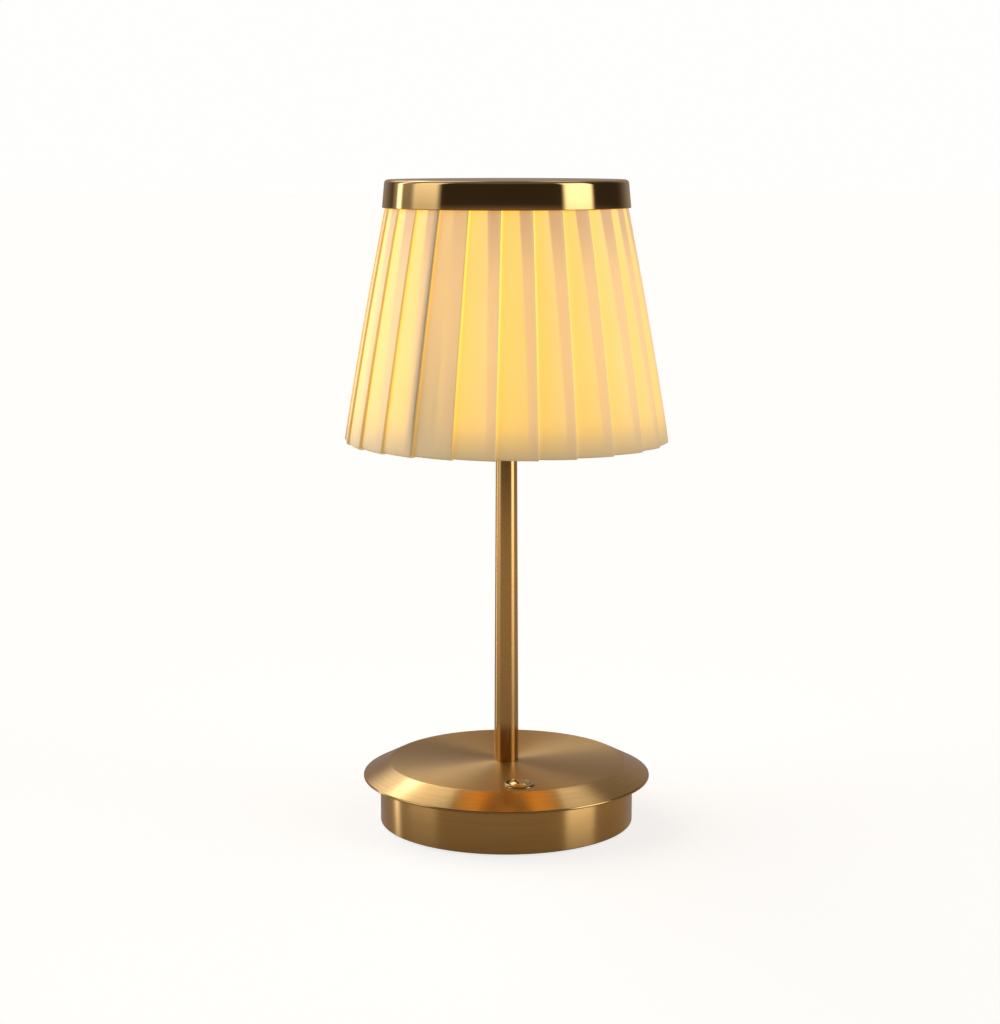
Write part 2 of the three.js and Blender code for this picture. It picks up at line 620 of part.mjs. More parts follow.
function makeShade() {
  const lipZ = shadeBottomZ + clothDepth;
  const lipInner = shadeBottomRadius - hemLipWidth;
  add('pleated_cloth', turned([
    ...shadeLine(0, shadeTopZ, shadeBottomZ),
    [lipInner, shadeBottomZ],
    [lipInner, lipZ],
    ...shadeLine(clothDepth, lipZ, shadeTopZ),
    [shadeRadius(shadeTopZ), shadeTopZ],
  ], largeSides), creamCloth());

  const linerOut = clothDepth + fitGap;
  const linerIn = linerOut + linerWall;
  const linerLow = lipZ + fitGap;
  add('shade_liner', turned([
    ...shadeLine(linerOut, shadeTopZ, linerLow),
    ...shadeLine(linerIn, linerLow, shadeTopZ),
    [shadeRadius(shadeTopZ) - linerOut, shadeTopZ],
  ], largeSides), whitePlastic());

  const ringDepth = linerIn + fitGap + wireRadius;
  const lowerZ = linerLow + wireRadius;
  const lowerRing = new THREE.TorusGeometry(shadeRadius(lowerZ) - ringDepth, wireRadius, 6, largeSides);
  add('lower_ring', lowerRing.translate(0, 0, lowerZ), steel());

  // The frame: a fitter ring on the light head, sloping arms butted between it and the upper ring.
  const upperZ = shadeTopZ - upperRingDrop;
  const upperRadius = shadeRadius(upperZ) - ringDepth;
  const upperRing = new THREE.TorusGeometry(upperRadius, wireRadius, 6, largeSides);
  add('upper_ring', upperRing.translate(0, 0, upperZ), steel());
  const fitterRadius = fitterInnerRadius + fitterWidth;
  const fitterTopZ = fitterZ + fitterHeight;
  add('fitter_ring', ring(fitterInnerRadius, fitterRadius, fitterZ, fitterTopZ, middleSides), steel());
  const armFoot = fitterInnerRadius + fitterWidth / 2;
  const armRise = new THREE.Vector2(upperRadius - armFoot, upperZ - fitterTopZ);
  const armShare = 1 - (wireRadius + 2 * seatGap) / armRise.length(); // stops just under the upper ring
  const trim = disc(fitterRadius + 4, fitterZ - 4, fitterTopZ + seatGap, middleSides);
  for (let i = 0; i < armCount; i += 1) {
    const angle = Math.PI / 2 + (2 * Math.PI * i) / armCount;
    const at = (share) => {
      const [radius, z] = [armFoot + armRise.x * share, fitterTopZ + armRise.y * share];
      return new THREE.Vector3(radius * Math.cos(angle), radius * Math.sin(angle), z);
    };
    add(`frame_arm_${i + 1}`, cut(rod(at(-0.01), at(armShare), armWireRadius, 8), trim), steel());
  }

  const lidBottomRadius = shadeRadius(lidBottomZ) + lidGap + lidWall;
  const lidTopRadius = lidBottomRadius - lidTaper;
  const innerShoulder = lidShoulder - lidWall;
  const shoulderRadius = lidTopRadius - lidShoulder;
  const shoulderZ = lidTopZ - lidShoulder;
  add('top_lid', turned([
    [0, lidTopZ - lidWall],
    ...arc(shoulderRadius, shoulderZ, innerShoulder, 90, 0, 4),
    [lidBottomRadius - lidWall, lidBottomZ],
    [lidBottomRadius - lidHemTurn, lidBottomZ],
    [lidBottomRadius, lidBottomZ + lidHemTurn],
    ...arc(shoulderRadius, shoulderZ, lidShoulder, 0, 90, 4),
    [0, lidTopZ],
  ], largeSides), polishedBrass());
}

makeBaseShell();
makeClosingScrews();
makeBattery();
makeControlBoard();
makeButton();
makeStem();
makeLeads();
makeHead();
makeShade();

export default lamp;
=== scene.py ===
# Cordless table lamp with a pleated cloth shade: the looks, built round the fixed frame.
# Everything is in metres, in the frame's own axes, with the button towards -Y.
import json
import math

import bpy
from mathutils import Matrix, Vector


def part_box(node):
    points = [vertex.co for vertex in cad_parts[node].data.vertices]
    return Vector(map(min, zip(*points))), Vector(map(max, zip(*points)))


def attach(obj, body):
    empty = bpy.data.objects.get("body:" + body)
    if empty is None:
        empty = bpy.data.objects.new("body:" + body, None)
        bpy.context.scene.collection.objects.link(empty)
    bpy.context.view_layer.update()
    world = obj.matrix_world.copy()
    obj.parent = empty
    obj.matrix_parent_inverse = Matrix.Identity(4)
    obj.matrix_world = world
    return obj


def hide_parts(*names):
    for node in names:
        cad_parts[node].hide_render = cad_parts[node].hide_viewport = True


mm = 0.001
degree = math.pi / 180
noiseRoughness = 0.55
axisReach = 1e-6  # a profile point nearer than this lies on the axis

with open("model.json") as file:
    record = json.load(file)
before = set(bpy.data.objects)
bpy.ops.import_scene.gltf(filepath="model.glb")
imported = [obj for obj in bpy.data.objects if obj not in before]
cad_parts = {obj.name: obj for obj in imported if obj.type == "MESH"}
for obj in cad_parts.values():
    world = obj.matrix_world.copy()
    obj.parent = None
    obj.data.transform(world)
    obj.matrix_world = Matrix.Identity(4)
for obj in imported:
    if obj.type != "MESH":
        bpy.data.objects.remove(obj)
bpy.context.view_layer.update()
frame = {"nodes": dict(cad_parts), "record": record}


# node trees

class Wire:  # one output socket, so that sums on it add nodes
    def __init__(self, maker, socket):
        self.maker = maker
        self.socket = socket

    def out(self, name):
        return Wire(self.maker, self.socket.node.outputs[name])

    def sum(self, operation, *values):
        return self.maker.add("ShaderNodeMath", {"operation": operation}, *values)

    def __add__(self, other):
        return self.sum("ADD", self, other)

    def __radd__(self, other):
        return self.sum("ADD", other, self)

    def __sub__(self, other):
        return self.sum("SUBTRACT", self, other)

    def __rsub__(self, other):
        return self.sum("SUBTRACT", other, self)

    def __mul__(self, other):
        return self.sum("MULTIPLY", self, other)

    def __rmul__(self, other):
        return self.sum("MULTIPLY", other, self)

    def __truediv__(self, other):
        return self.sum("DIVIDE", self, other)

    def __rtruediv__(self, other):
        return self.sum("DIVIDE", other, self)

    def __mod__(self, other):
        return self.sum("FLOORED_MODULO", self, other)

    def step(self, low, high):  # a smooth rise from 0 to 1 between low and high
        return self.maker.add("ShaderNodeMapRange", {"interpolation_type": "SMOOTHSTEP"}, self, low, high)


class Maker:  # adds nodes to one tree
    def __init__(self, tree):
        self.tree = tree

    def add(self, kind, settings=None, *values, **named):
        node = self.tree.nodes.new(kind)
        for name, value in (settings or {}).items():
            if name == "curve":
                self.setCurve(node, value)
            else:
                setattr(node, name, value)
        for index, value in enumerate(values):
            self.feed(node.inputs[index], value)
        for name, value in named.items():
            self.feed(node.inputs[name.replace("_", " ")], value)
        shown = [socket for socket in node.outputs if socket.enabled]
        return Wire(self, shown[0]) if shown else None

    def feed(self, socket, value):
        if isinstance(value, Wire):
            self.tree.links.new(value.socket, socket)
        elif value is not None:
            socket.default_value = value

    def setCurve(self, node, points):
        curve = node.mapping.curves[0]
        node.mapping.use_clip = False
        for index, (x, y) in enumerate(points):
            if index < 2:
                curve.points[index].location = (x, y)
            else:
                curve.points.new(x, y)
        for point in curve.points:
            point.handle_type = "VECTOR"
        node.mapping.update()


def mixColours(maker, amount, first, second, blend="MIX"):
    mixed = maker.add("ShaderNodeMix", {"data_type": "RGBA", "blend_type": blend, "clamp_factor": True})
    node = mixed.socket.node
    maker.feed(node.inputs[0], amount)
    for socket, value in ((node.inputs[6], first), (node.inputs[7], second)):
        maker.feed(socket, value if isinstance(value, Wire) else (*value, 1.0))
    return Wire(maker, node.outputs[2])


def newMaterial(name):
    material = bpy.data.materials.new(name)
    material.use_nodes = True
    material.node_tree.nodes.clear()
    return material, Maker(material.node_tree)


def finishMaterial(material, maker, shader):
    output = material.node_tree.nodes.new("ShaderNodeOutputMaterial")
    maker.feed(output.inputs["Surface"], shader)
    return material


def objectPoint(maker):
    return maker.add("ShaderNodeTexCoord").out("Object")


def cylinderPoint(maker):  # distance from the lamp's axis, angle round it and height
    split = maker.add("ShaderNodeSeparateXYZ", None, objectPoint(maker))
    x, y, z = split, split.out("Y"), split.out("Z")
    radius = x.sum("SQRT", x * x + y * y)
    return radius, x.sum("ARCTAN2", y, x), z


def fineNoise(maker, point, scale, detail=3.0):
    settings = {"noise_dimensions": "3D"}
    return maker.add(
        "ShaderNodeTexNoise", settings, Vector=point, Scale=scale, Detail=detail, Roughness=noiseRoughness)


def principled(maker, **sockets):
    return maker.add("ShaderNodeBsdfPrincipled", None, **sockets)


def bump(maker, height, distance):
    return maker.add("ShaderNodeBump", None, Strength=1.0, Distance=distance, Height=height)


# materials

def brushedBrass(name, look):
    # lines turned round the axis, soft blotches and a warmer tone where the lacquer lies thick
    material, maker = newMaterial(name)
    radius, angle, height = cylinderPoint(maker)
    across = (radius + height * look["lineTilt"]) * look["lineScale"]
    along = angle * look["lineLength"]
    linePoint = maker.add("ShaderNodeCombineXYZ", None, across, along, height * look["lineDrift"])
    lines = fineNoise(maker, linePoint, 1.0, 4.0)
    blotch = fineNoise(maker, objectPoint(maker), look["blotchScale"], 2.0)
    tone = mixColours(maker, blotch.step(0.35, 0.7), look["colour"], look["warmColour"])
    tone = mixColours(maker, lines.step(0.35, 0.75) * look["lineTone"], tone, look["lineColour"])
    face = 1.0 - radius.step(look["faceRadius"], look["faceRadius"] + look["faceBlend"])
    rough = look["roughness"] + face * look["faceRough"]
    rough = rough + (lines - 0.5) * look["roughSpread"] + (blotch - 0.5) * look["blotchRough"]
    return finishMaterial(material, maker, principled(
        maker, Base_Color=tone, Metallic=1.0, Roughness=rough, Anisotropic=look["anisotropy"],
        Anisotropic_Rotation=look["stretchTurn"], Normal=bump(maker, lines, look["lineDepth"])))


satinLook = {
    "colour": (0.66, 0.445, 0.195), "warmColour": (0.70, 0.455, 0.18), "lineColour": (0.54, 0.345, 0.135),
    "lineTone": 0.35, "lineScale": 2600.0, "lineTilt": 1.0, "lineLength": 2.2, "lineDepth": 0.000003,
    "blotchScale": 26.0, "roughness": 0.21, "roughSpread": 0.07, "anisotropy": 0.8,
    "lineDrift": 30, "blotchRough": 0.05, "stretchTurn": 0.25,
    "faceRadius": 55.0 * mm, "faceBlend": 0.4 * mm, "faceRough": 0.21,
}
stemLook = dict(satinLook, roughness=0.16, roughSpread=0.06, anisotropy=0.0, lineTone=0.3, faceRough=0.0)

polishedBrassLook = {
    "colour": (0.72, 0.49, 0.22), "warmColour": (0.68, 0.45, 0.19),
    "roughness": 0.05, "haze": 0.05, "hazeScale": 60.0, "waveScale": 14.0, "waveDepth": 0.00006,
}

# plain finishes: colour, fleck, roughness and its spread, metal share, grain scale and depth
plainLooks = {
    "zinc_steel": ((0.60, 0.61, 0.62), (0.47, 0.48, 0.50), 0.34, 0.18, 1.0, 420.0, 0.000006),
    "shade_wire": ((0.62, 0.60, 0.56), (0.50, 0.48, 0.44), 0.40, 0.15, 0.85, 500.0, 0.000008),
    "head_aluminium": ((0.78, 0.76, 0.72), (0.70, 0.68, 0.64), 0.48, 0.12, 0.25, 300.0, 0.000008),
    "foot_rubber": ((0.022, 0.021, 0.020), (0.040, 0.038, 0.036), 0.82, 0.12, 0.0, 900.0, 0.00004),
    "cast_weight": ((0.075, 0.075, 0.078), (0.12, 0.11, 0.10), 0.72, 0.2, 0.7, 260.0, 0.00012),
    "black_plastic": ((0.020, 0.020, 0.021), (0.030, 0.030, 0.031), 0.46, 0.10, 0.0, 1400.0, 0.00001),
    "white_plastic": ((0.80, 0.78, 0.73), (0.74, 0.72, 0.67), 0.42, 0.10, 0.0, 900.0, 0.000008),
    "cell_wrap": ((0.035, 0.16, 0.42), (0.03, 0.13, 0.36), 0.32, 0.08, 0.0, 500.0, 0.000006),
    "red_lead": ((0.50, 0.025, 0.018), (0.40, 0.020, 0.015), 0.42, 0.08, 0.0, 800.0, 0.000006),
    "black_lead": ((0.018, 0.018, 0.018), (0.03, 0.03, 0.03), 0.45, 0.08, 0.0, 800.0, 0.000006),
    "white_lead": ((0.72, 0.69, 0.62), (0.66, 0.63, 0.56), 0.45, 0.08, 0.0, 800.0, 0.000006),
    "green_board": ((0.018, 0.16, 0.060), (0.024, 0.21, 0.080), 0.36, 0.08, 0.0, 700.0, 0.00002),
}


def plainFinish(name):
    colour, fleck, roughness, spread, metal, scale, depth = plainLooks[name]
    material, maker = newMaterial(name)
    grain = fineNoise(maker, objectPoint(maker), scale, 4.0)
    patch = fineNoise(maker, objectPoint(maker), scale / 14, 3.0)
    tone = mixColours(maker, grain.step(0.35, 0.7) * 0.6 + patch.step(0.4, 0.7) * 0.4, colour, fleck)
    rough = roughness + (grain - 0.5) * spread + (patch - 0.5) * spread
    return finishMaterial(material, maker, principled(
        maker, Base_Color=tone, Roughness=rough, Metallic=metal, Normal=bump(maker, grain, depth)))


glowLooks = {
    # colour, fleck, glow and its strength, how much the glow falls towards the foot of the piece
    "frosted_dome": {"colour": (0.86, 0.84, 0.79), "fleck": (0.80, 0.77, 0.70), "glow": (1.0, 0.71, 0.34),
                     "strength": 1.5, "low": 0.205, "high": 0.262, "floor": 0.62, "roughness": 0.5},
    # the liner is no lamp: its glow is painted light of the dome shining through it, and its dimming towards
    # its foot is painted shade
    "shade_liner": {"colour": (0.80, 0.74, 0.62), "fleck": (0.74, 0.67, 0.54), "glow": (1.0, 0.45, 0.03),
                    "strength": 0.36, "low": 0.176, "high": 0.235, "floor": 0.45, "roughness": 0.75},
    "emitter": {"colour": (0.85, 0.60, 0.12), "fleck": (0.80, 0.52, 0.08), "glow": (1.0, 0.78, 0.42),
                "strength": 6.0, "low": 0.1, "high": 0.11, "floor": 1.0, "roughness": 0.4},
}


def glowingFinish(name):
    look = glowLooks[name]
    material, maker = newMaterial(name)
    height = maker.add("ShaderNodeSeparateXYZ", None, objectPoint(maker)).out("Z")
    grain = fineNoise(maker, objectPoint(maker), 700.0, 3.0)
    patch = fineNoise(maker, objectPoint(maker), 34.0, 2.0)
    tone = mixColours(maker, grain.step(0.3, 0.7), look["colour"], look["fleck"])
    glowLevel = look["floor"] + (1.0 - look["floor"]) * height.step(look["low"], look["high"])
    glowLevel = glowLevel * (0.94 + 0.12 * patch)
    glow = mixColours(maker, glowLevel, (0.0, 0.0, 0.0), look["glow"])
    return finishMaterial(material, maker, principled(
        maker, Base_Color=tone, Roughness=look["roughness"], Emission_Color=glow,
        Emission_Strength=look["strength"], Normal=bump(maker, grain, 0.00001)))


def makeMaterials():
    made = {name: plainFinish(name) for name in plainLooks}
    made.update({name: glowingFinish(name) for name in glowLooks})
    made["satin_brass"] = brushedBrass("satinBrass", satinLook)
    made["stemBrass"] = brushedBrass("stemBrass", stemLook)
    made["polished_brass"] = polishedBrass(polishedBrassLook)
    made["pleated_cloth"] = pleatedClothMaterial(clothLook)
    return made


def finishNodes(materials):  # every node that stays showing gets its slot's finish
    for entry in frame["record"]["subparts"]:
        slots = frame["nodes"][entry["node"]].data.materials
        slots.clear()
        slots.append(materials[entry["material_slot"]])


def polishedBrass(look):
    # near a mirror, with faint haze and the slight waviness of pressed sheet
    material, maker = newMaterial("polishedBrass")
    point = objectPoint(maker)
    haze = fineNoise(maker, point, look["hazeScale"], 4.0)
    wave = fineNoise(maker, point, look["waveScale"], 1.0)
    tone = mixColours(maker, haze.step(0.4, 0.7), look["colour"], look["warmColour"])
    rough = look["roughness"] + haze * look["haze"]
    return finishMaterial(material, maker, principled(
        maker, Base_Color=tone, Metallic=1.0, Roughness=rough, Normal=bump(maker, wave, look["waveDepth"])))


clothLook = {
    "thread": (0.86, 0.79, 0.66), "darkThread": (0.76, 0.67, 0.53),
    # emission colours: the lamp's light through the cloth is painted, by layer, at the fold edge, at the seam
    # and at the hem; under is painted shade on the tucked-under cloth
    "singleGlow": (0.95, 0.53, 0.045), "paleSingleGlow": (0.90, 0.53, 0.115), "foldGlowLine": (0.98, 0.72, 0.08),
    "tripleGlow": (0.75, 0.41, 0.13), "topTripleGlow": (0.52, 0.26, 0.08), "greyTripleGlow": (0.62, 0.39, 0.15),
    "hem": (0.36, 0.235, 0.09), "under": (0.19, 0.125, 0.045), "seamShade": (0.15, 0.105, 0.045),
    "besideShadeLow": (0.36, 0.22, 0.08), "besideShadeHigh": (0.66, 0.355, 0.09),
    "bandEdge": 0.05, "threadPitch": 0.42 * mm, "threadDepth": 0.05 * mm,
}


def pleatedClothMaterial(look):
    # painted light: the lamp's light through the cloth is painted into its emission, where one layer glows
    # yellow and three layers glow dull beige; the tucked-under cloth is painted dark as shade
    material, maker = newMaterial("pleatedCloth")

    def attribute(name):
        return maker.add("ShaderNodeAttribute", {"attribute_name": name}).out("Fac")

    across, tuck, up = attribute("across"), attribute("tuck"), attribute("up")
    under, tone, seamShade, beside = (attribute(name) for name in ("under", "tone", "seamShade", "beside"))
    split = maker.add("ShaderNodeSeparateXYZ", None, maker.add("ShaderNodeUVMap", {"uv_map": "UVMap"}))
    u, v = split, split.out("Y")

    def stretched(along, upward, shift, detail):  # noise with its own pitch each way in the weave
        point = maker.add("ShaderNodeCombineXYZ", None, u * along, v * upward, shift)
        return fineNoise(maker, point, 1.0, detail)

    slub = stretched(220.0, 2600.0, 0.0, 3.0)
    streak = stretched(420.0, 7.0, 0.0, 3.0)
    cloud = stretched(60.0, 26.0, tone * 9.0, 2.0)

    reach = (across + (cloud - 0.5) * 0.06) / (1.0 - tuck)  # 1 where the single layer ends
    # painted glow of one layer, paler away from the fold edge
    paler = reach.step(0.25, 1.05) * (0.35 + 0.65 * tone) + (cloud - 0.5) * 0.5
    singleGlow = mixColours(maker, paler, look["singleGlow"], look["paleSingleGlow"])
    # painted glow line along each fold edge, brighter higher up and weaker on the seam pleat
    foldGlow = (1.0 - across.step(0.0, 0.09)) * (0.35 + 0.65 * up.step(0.2, 0.6))
    singleGlow = mixColours(maker, foldGlow * (1.0 - seamShade * 0.8), singleGlow, look["foldGlowLine"])
    # painted glow of three layers, darker near the top and greyer near the fold edge
    tripleGlow = mixColours(maker, up.step(0.66, 1.0), look["tripleGlow"], look["topTripleGlow"])
    greyer = across.step(0.88, 1.0) * 0.7 + (streak - 0.5) * 0.5
    tripleGlow = mixColours(maker, greyer, tripleGlow, look["greyTripleGlow"])
    folded = across.step(1.0 - tuck - look["bandEdge"], 1.0 - tuck + look["bandEdge"] * 0.6)
    glow = mixColours(maker, folded * (0.86 + 0.14 * up.step(0.3, 0.9)), singleGlow, tripleGlow)
    # painted shade on the pleat after the seam: its glow is dulled, most towards the hem, so no clear single
    # layer shows
    besideShade = mixColours(maker, up.step(0.0, 0.7), look["besideShadeLow"], look["besideShadeHigh"])
    besideShadeShare = 0.92 - across.step(0.15, 0.8) * 0.38 + (streak - 0.5) * 0.9
    glow = mixColours(maker, beside * besideShadeShare, glow, besideShade)
    # painted shadow along the seam pleat's fold edge
    glow = mixColours(maker, seamShade * across.step(0.74, 0.98) * 0.9, glow, look["seamShade"])
    # painted glow dims to a dull brown at the turned hem
    glow = mixColours(maker, 1.0 - up.step(-0.03, 0.17), glow, look["hem"])
    # painted shade on the tucked-under cloth
    glow = mixColours(maker, under.step(0.3, 0.8), glow, look["under"])
    glowLevel = (0.95 + 0.10 * streak) * (0.97 + 0.06 * slub) * (0.93 + 0.14 * cloud)
    # painted shade: the glow dims towards the hem
    glowLevel = glowLevel * (0.89 + 0.11 * up.step(0.04, 0.42))
    glowLevel = maker.add("ShaderNodeCombineColor", None, glowLevel, glowLevel, glowLevel)
    glow = mixColours(maker, 1.0, glow, glowLevel, "MULTIPLY")
    darker = slub.step(0.35, 0.75) * 0.5 + (streak - 0.5) * 0.3
    colour = mixColours(maker, darker, look["thread"], look["darkThread"])

    turn = 2 * math.pi / look["threadPitch"]
    threads = u.sum("SINE", u * turn) * v.sum("SINE", v * turn) * 0.5 + slub
    return finishMaterial(material, maker, principled(
        maker, Base_Color=colour, Roughness=0.85, Emission_Color=glow, Emission_Strength=1.0,
        Sheen_Weight=0.1, Normal=bump(maker, threads, look["threadDepth"])))


# mesh helpers

def arcPoints(centre, radius, start, end, steps):  # angles in degrees, in the profile's plane
    points = []
    for index in range(steps + 1):
        angle = math.radians(start + (end - start) * index / steps)
        points.append((centre[0] + radius * math.cos(angle), centre[1] + radius * math.sin(angle)))
    return points


def roundedProfile(corners, closed=True, steps=5):
    # corners: (radius, height, rounding); each corner is turned into a short curve of that size
    profile = []
    count = len(corners)
    for index, (x, z, size) in enumerate(corners):
        here = Vector((x, z))
        if size == 0 or (not closed and index in (0, count - 1)):
            profile.append((x, z))
            continue
        before = Vector(corners[index - 1][:2]) - here
        after = Vector(corners[(index + 1) % count][:2]) - here
        reach = min(size, before.length * 0.49, after.length * 0.49)
        start, end = here + before.normalized() * reach, here + after.normalized() * reach
        for step in range(steps + 1):
            t = step / steps
            point = start * (1 - t) ** 2 + here * 2 * t * (1 - t) + end * t * t
            profile.append((point.x, point.y))
    return profile


def meshObject(name, points, faces, smooth=True):
    mesh = bpy.data.meshes.new(name)
    mesh.from_pydata(points, [], faces)
    mesh.validate()
    if smooth:
        mesh.shade_smooth()
    made = bpy.data.objects.new(name, mesh)
    bpy.context.scene.collection.objects.link(made)
    return made


def turnedMesh(name, profile, sides=192, centre=(0.0, 0.0), closed=True):
    # turns a profile of (radius, height) in metres round a vertical axis; points on the axis become poles
    points, faces, rows = [], [], []
    for radius, height in profile:
        if radius < axisReach:
            rows.append([len(points)] * sides)
            points.append((centre[0], centre[1], height))
            continue
        rows.append(list(range(len(points), len(points) + sides)))
        for side in range(sides):
            angle = 2 * math.pi * side / sides
            x, y = radius * math.cos(angle), radius * math.sin(angle)
            points.append((centre[0] + x, centre[1] + y, height))
    pairs = list(zip(rows, rows[1:]))
    if closed:
        pairs.append((rows[-1], rows[0]))
    for low, high in pairs:
        for side in range(sides):
            after = (side + 1) % sides
            corner = [low[side], low[after], high[after], high[side]]
            face = list(dict.fromkeys(corner))
            if len(face) > 2:
                faces.append(face)
    area = sum(a[0] * b[1] - b[0] * a[1] for a, b in zip(profile, profile[1:] + profile[:1]))
    if area < 0:
        faces = [face[::-1] for face in faces]
    return meshObject(name, points, faces)


def dress(piece, material, body, slot, *replaced):
    piece.data.materials.clear()
    piece.data.materials.append(material)
    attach(piece, body)
    if replaced:
        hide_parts(*replaced)
    return piece


def sharpenByAngle(piece, degrees=35):
    piece.data.set_sharp_from_angle(angle=math.radians(degrees))


# camera

view = {"azimuth": -7.6, "pitch": 9.09, "distance": 1.0398, "height": 0.3135, "lens": 79.71, "side": 0.0030}


def makeCamera():
    camera = bpy.data.cameras.new("camera")
    camera.lens = view["lens"]
    camera.sensor_width = 36.0
    camera.clip_start, camera.clip_end = 0.05, 60.0
    made = bpy.data.objects.new("camera", camera)
    bpy.context.scene.collection.objects.link(made)
    turn = math.radians(view["azimuth"])
    right = Vector((math.cos(turn), math.sin(turn), 0.0))
    back = Vector((math.sin(turn), -math.cos(turn), 0.0))
    made.location = back * view["distance"] - right * view["side"] + Vector((0, 0, view["height"]))
    made.rotation_euler = (math.radians(90 - view["pitch"]), 0.0, turn)
    bpy.context.scene.camera = made


# studio

studio = {
    "background": (1.0, 0.995, 0.985), "frontDark": (0.040, 0.032, 0.025), "rear": (0.31, 0.26, 0.235),
    "table": (0.40, 0.305, 0.215), "tableFar": (0.10, 0.072, 0.048), "overhead": (0.16, 0.15, 0.14),
    "fill": (0.03, 0.03, 0.03), "diffuseShare": 0.22,
    "floorColour": (0.50, 0.495, 0.485), "floorFleck": (0.58, 0.575, 0.56),
    "floorLight": (1.0, 0.995, 0.985, 1.0), "floorGlow": 0.77, "floorSize": 30.0,
}
# soft panels round the lamp: degrees round from the camera's side and up, half sizes, softness,
# strength and colour
panels = [
    {"turn": -81.0, "rise": 22.0, "width": 15.5, "height": 26.0, "edge": 4.0, "fade": 16.0, "power": 1.0,
     "colour": (1.0, 0.965, 0.90)},
    {"turn": -117.5, "rise": 8.0, "width": 3.6, "height": 24.0, "edge": 2.5, "fade": 12.0, "power": 2.4,
     "colour": (1.0, 0.98, 0.93)},
    {"turn": -97.0, "rise": 16.0, "width": 32.0, "height": 24.0, "edge": 4.0, "fade": 14.0, "power": 0.33,
     "colour": (1.0, 0.95, 0.86)},
    {"turn": 70.0, "rise": 14.0, "width": 15.5, "height": 24.0, "edge": 3.5, "fade": 14.0, "power": 2.3,
     "colour": (1.0, 0.96, 0.89)},
    {"turn": -152.0, "rise": 43.0, "width": 17.0, "height": 20.0, "edge": 6.0, "fade": 10.0, "power": 1.15,
     "colour": (1.0, 0.97, 0.92)},
    {"turn": -152.0, "rise": 40.0, "width": 9.0, "height": 3.5, "edge": 3.0, "fade": 2.5, "power": 2.6,
     "colour": (1.0, 0.98, 0.94)},
    {"turn": 149.0, "rise": 57.0, "width": 16.0, "height": 8.0, "edge": 6.0, "fade": 5.0, "power": 0.9,
     "colour": (1.0, 0.97, 0.92)},
]
# broad light that only dull surfaces take: it lies on the cloth and makes no mark in the brass
washes = [
    {"turn": -106.0, "rise": 22.0, "width": 46.0, "height": 52.0, "edge": 12.0, "fade": 22.0, "power": 1.0,
     "colour": (1.0, 0.97, 0.92)},
    {"turn": 88.0, "rise": 20.0, "width": 42.0, "height": 48.0, "edge": 14.0, "fade": 22.0, "power": 0.42,
     "colour": (1.0, 0.96, 0.90)},
]


panelReach = 4.0


def panelLight(turn, rise, panel):
    # 1 inside the panel, falling to 0 over its soft edge; the turn is wrapped to -180..180 round the panel
    away = (turn - (panel["turn"] - 180.0)) % 360.0 - 180.0
    width, edge, height, fade = (panel[name] for name in ("width", "edge", "height", "fade"))
    sideways = 1.0 - away.sum("ABSOLUTE", away).step(width - edge, width + edge)
    offset = rise - panel["rise"]
    upright = 1.0 - rise.sum("ABSOLUTE", offset).step(height - fade, height + fade)
    return sideways * upright * panel["power"]


def addPanels(maker, turn, rise, light, group):
    for panel in group:
        strength = panelLight(turn, rise, panel)
        bright = tuple(panelReach * part for part in panel["colour"])  # keeps the mix factor below 1
        glow = mixColours(maker, strength / panelReach, (0.0, 0.0, 0.0), bright)
        light = mixColours(maker, 1.0, light, glow, "ADD")
    return light


def makeStudio():
    scene = bpy.context.scene
    scene.view_settings.view_transform = "Standard"
    world = bpy.data.worlds.new("studio")
    scene.world = world
    world.use_nodes = True
    world.node_tree.nodes.clear()
    maker = Maker(world.node_tree)
    split = maker.add("ShaderNodeSeparateXYZ", None, maker.add("ShaderNodeTexCoord").out("Generated"))
    x, y, z = split, split.out("Y"), split.out("Z")
    turn = x.sum("ARCTAN2", x, 0.0 - y) / degree - view["azimuth"]
    turn = (turn + 180.0) % 360.0 - 180.0
    rise = z.sum("ARCSINE", z) / degree
    table = mixColours(maker, (0.0 - rise).step(8.0, 34.0), studio["table"], studio["tableFar"])
    front = mixColours(maker, (0.0 - rise).step(2.0, 8.0), studio["frontDark"], table)
    front = mixColours(maker, rise.step(20.0, 60.0), front, studio["overhead"])
    light = mixColours(maker, turn.sum("ABSOLUTE", turn).step(122.0, 160.0), front, studio["rear"])
    light = mixColours(maker, rise.step(48.0, 75.0), light, studio["overhead"])
    light = addPanels(maker, turn, rise, light, panels)
    dull = mixColours(maker, studio["diffuseShare"], studio["fill"], light)
    dull = addPanels(maker, turn, rise, dull, washes)
    path = maker.add("ShaderNodeLightPath")
    light = mixColours(maker, path.out("Is Diffuse Ray"), light, dull)
    light = mixColours(maker, path.out("Is Camera Ray"), light, studio["background"])
    background = maker.add("ShaderNodeBackground", None, light, 1.0)
    output = world.node_tree.nodes.new("ShaderNodeOutputWorld")
    maker.feed(output.inputs["Surface"], background)
    world.cycles.sampling_method = "MANUAL"
    world.cycles.sample_map_resolution = 1024

    material, maker = newMaterial("floor")
    grain = fineNoise(maker, objectPoint(maker), 3.0, 2.0)
    tone = mixColours(maker, grain * 0.06, studio["floorColour"], studio["floorFleck"])
    finishMaterial(material, maker, principled(
        maker, Base_Color=tone, Roughness=0.8, Specular_IOR_Level=0.0,
        Emission_Color=studio["floorLight"], Emission_Strength=studio["floorGlow"]))
    half = studio["floorSize"] / 2
    floor = meshObject("floor", [(-half, -half, 0), (half, -half, 0), (half, half, 0), (-half, half, 0)],
                       [(0, 1, 2, 3)], smooth=False)
    floor.data.materials.append(material)
    floor.visible_glossy = False
    floor.visible_diffuse = False
    print("studio ready")


# base

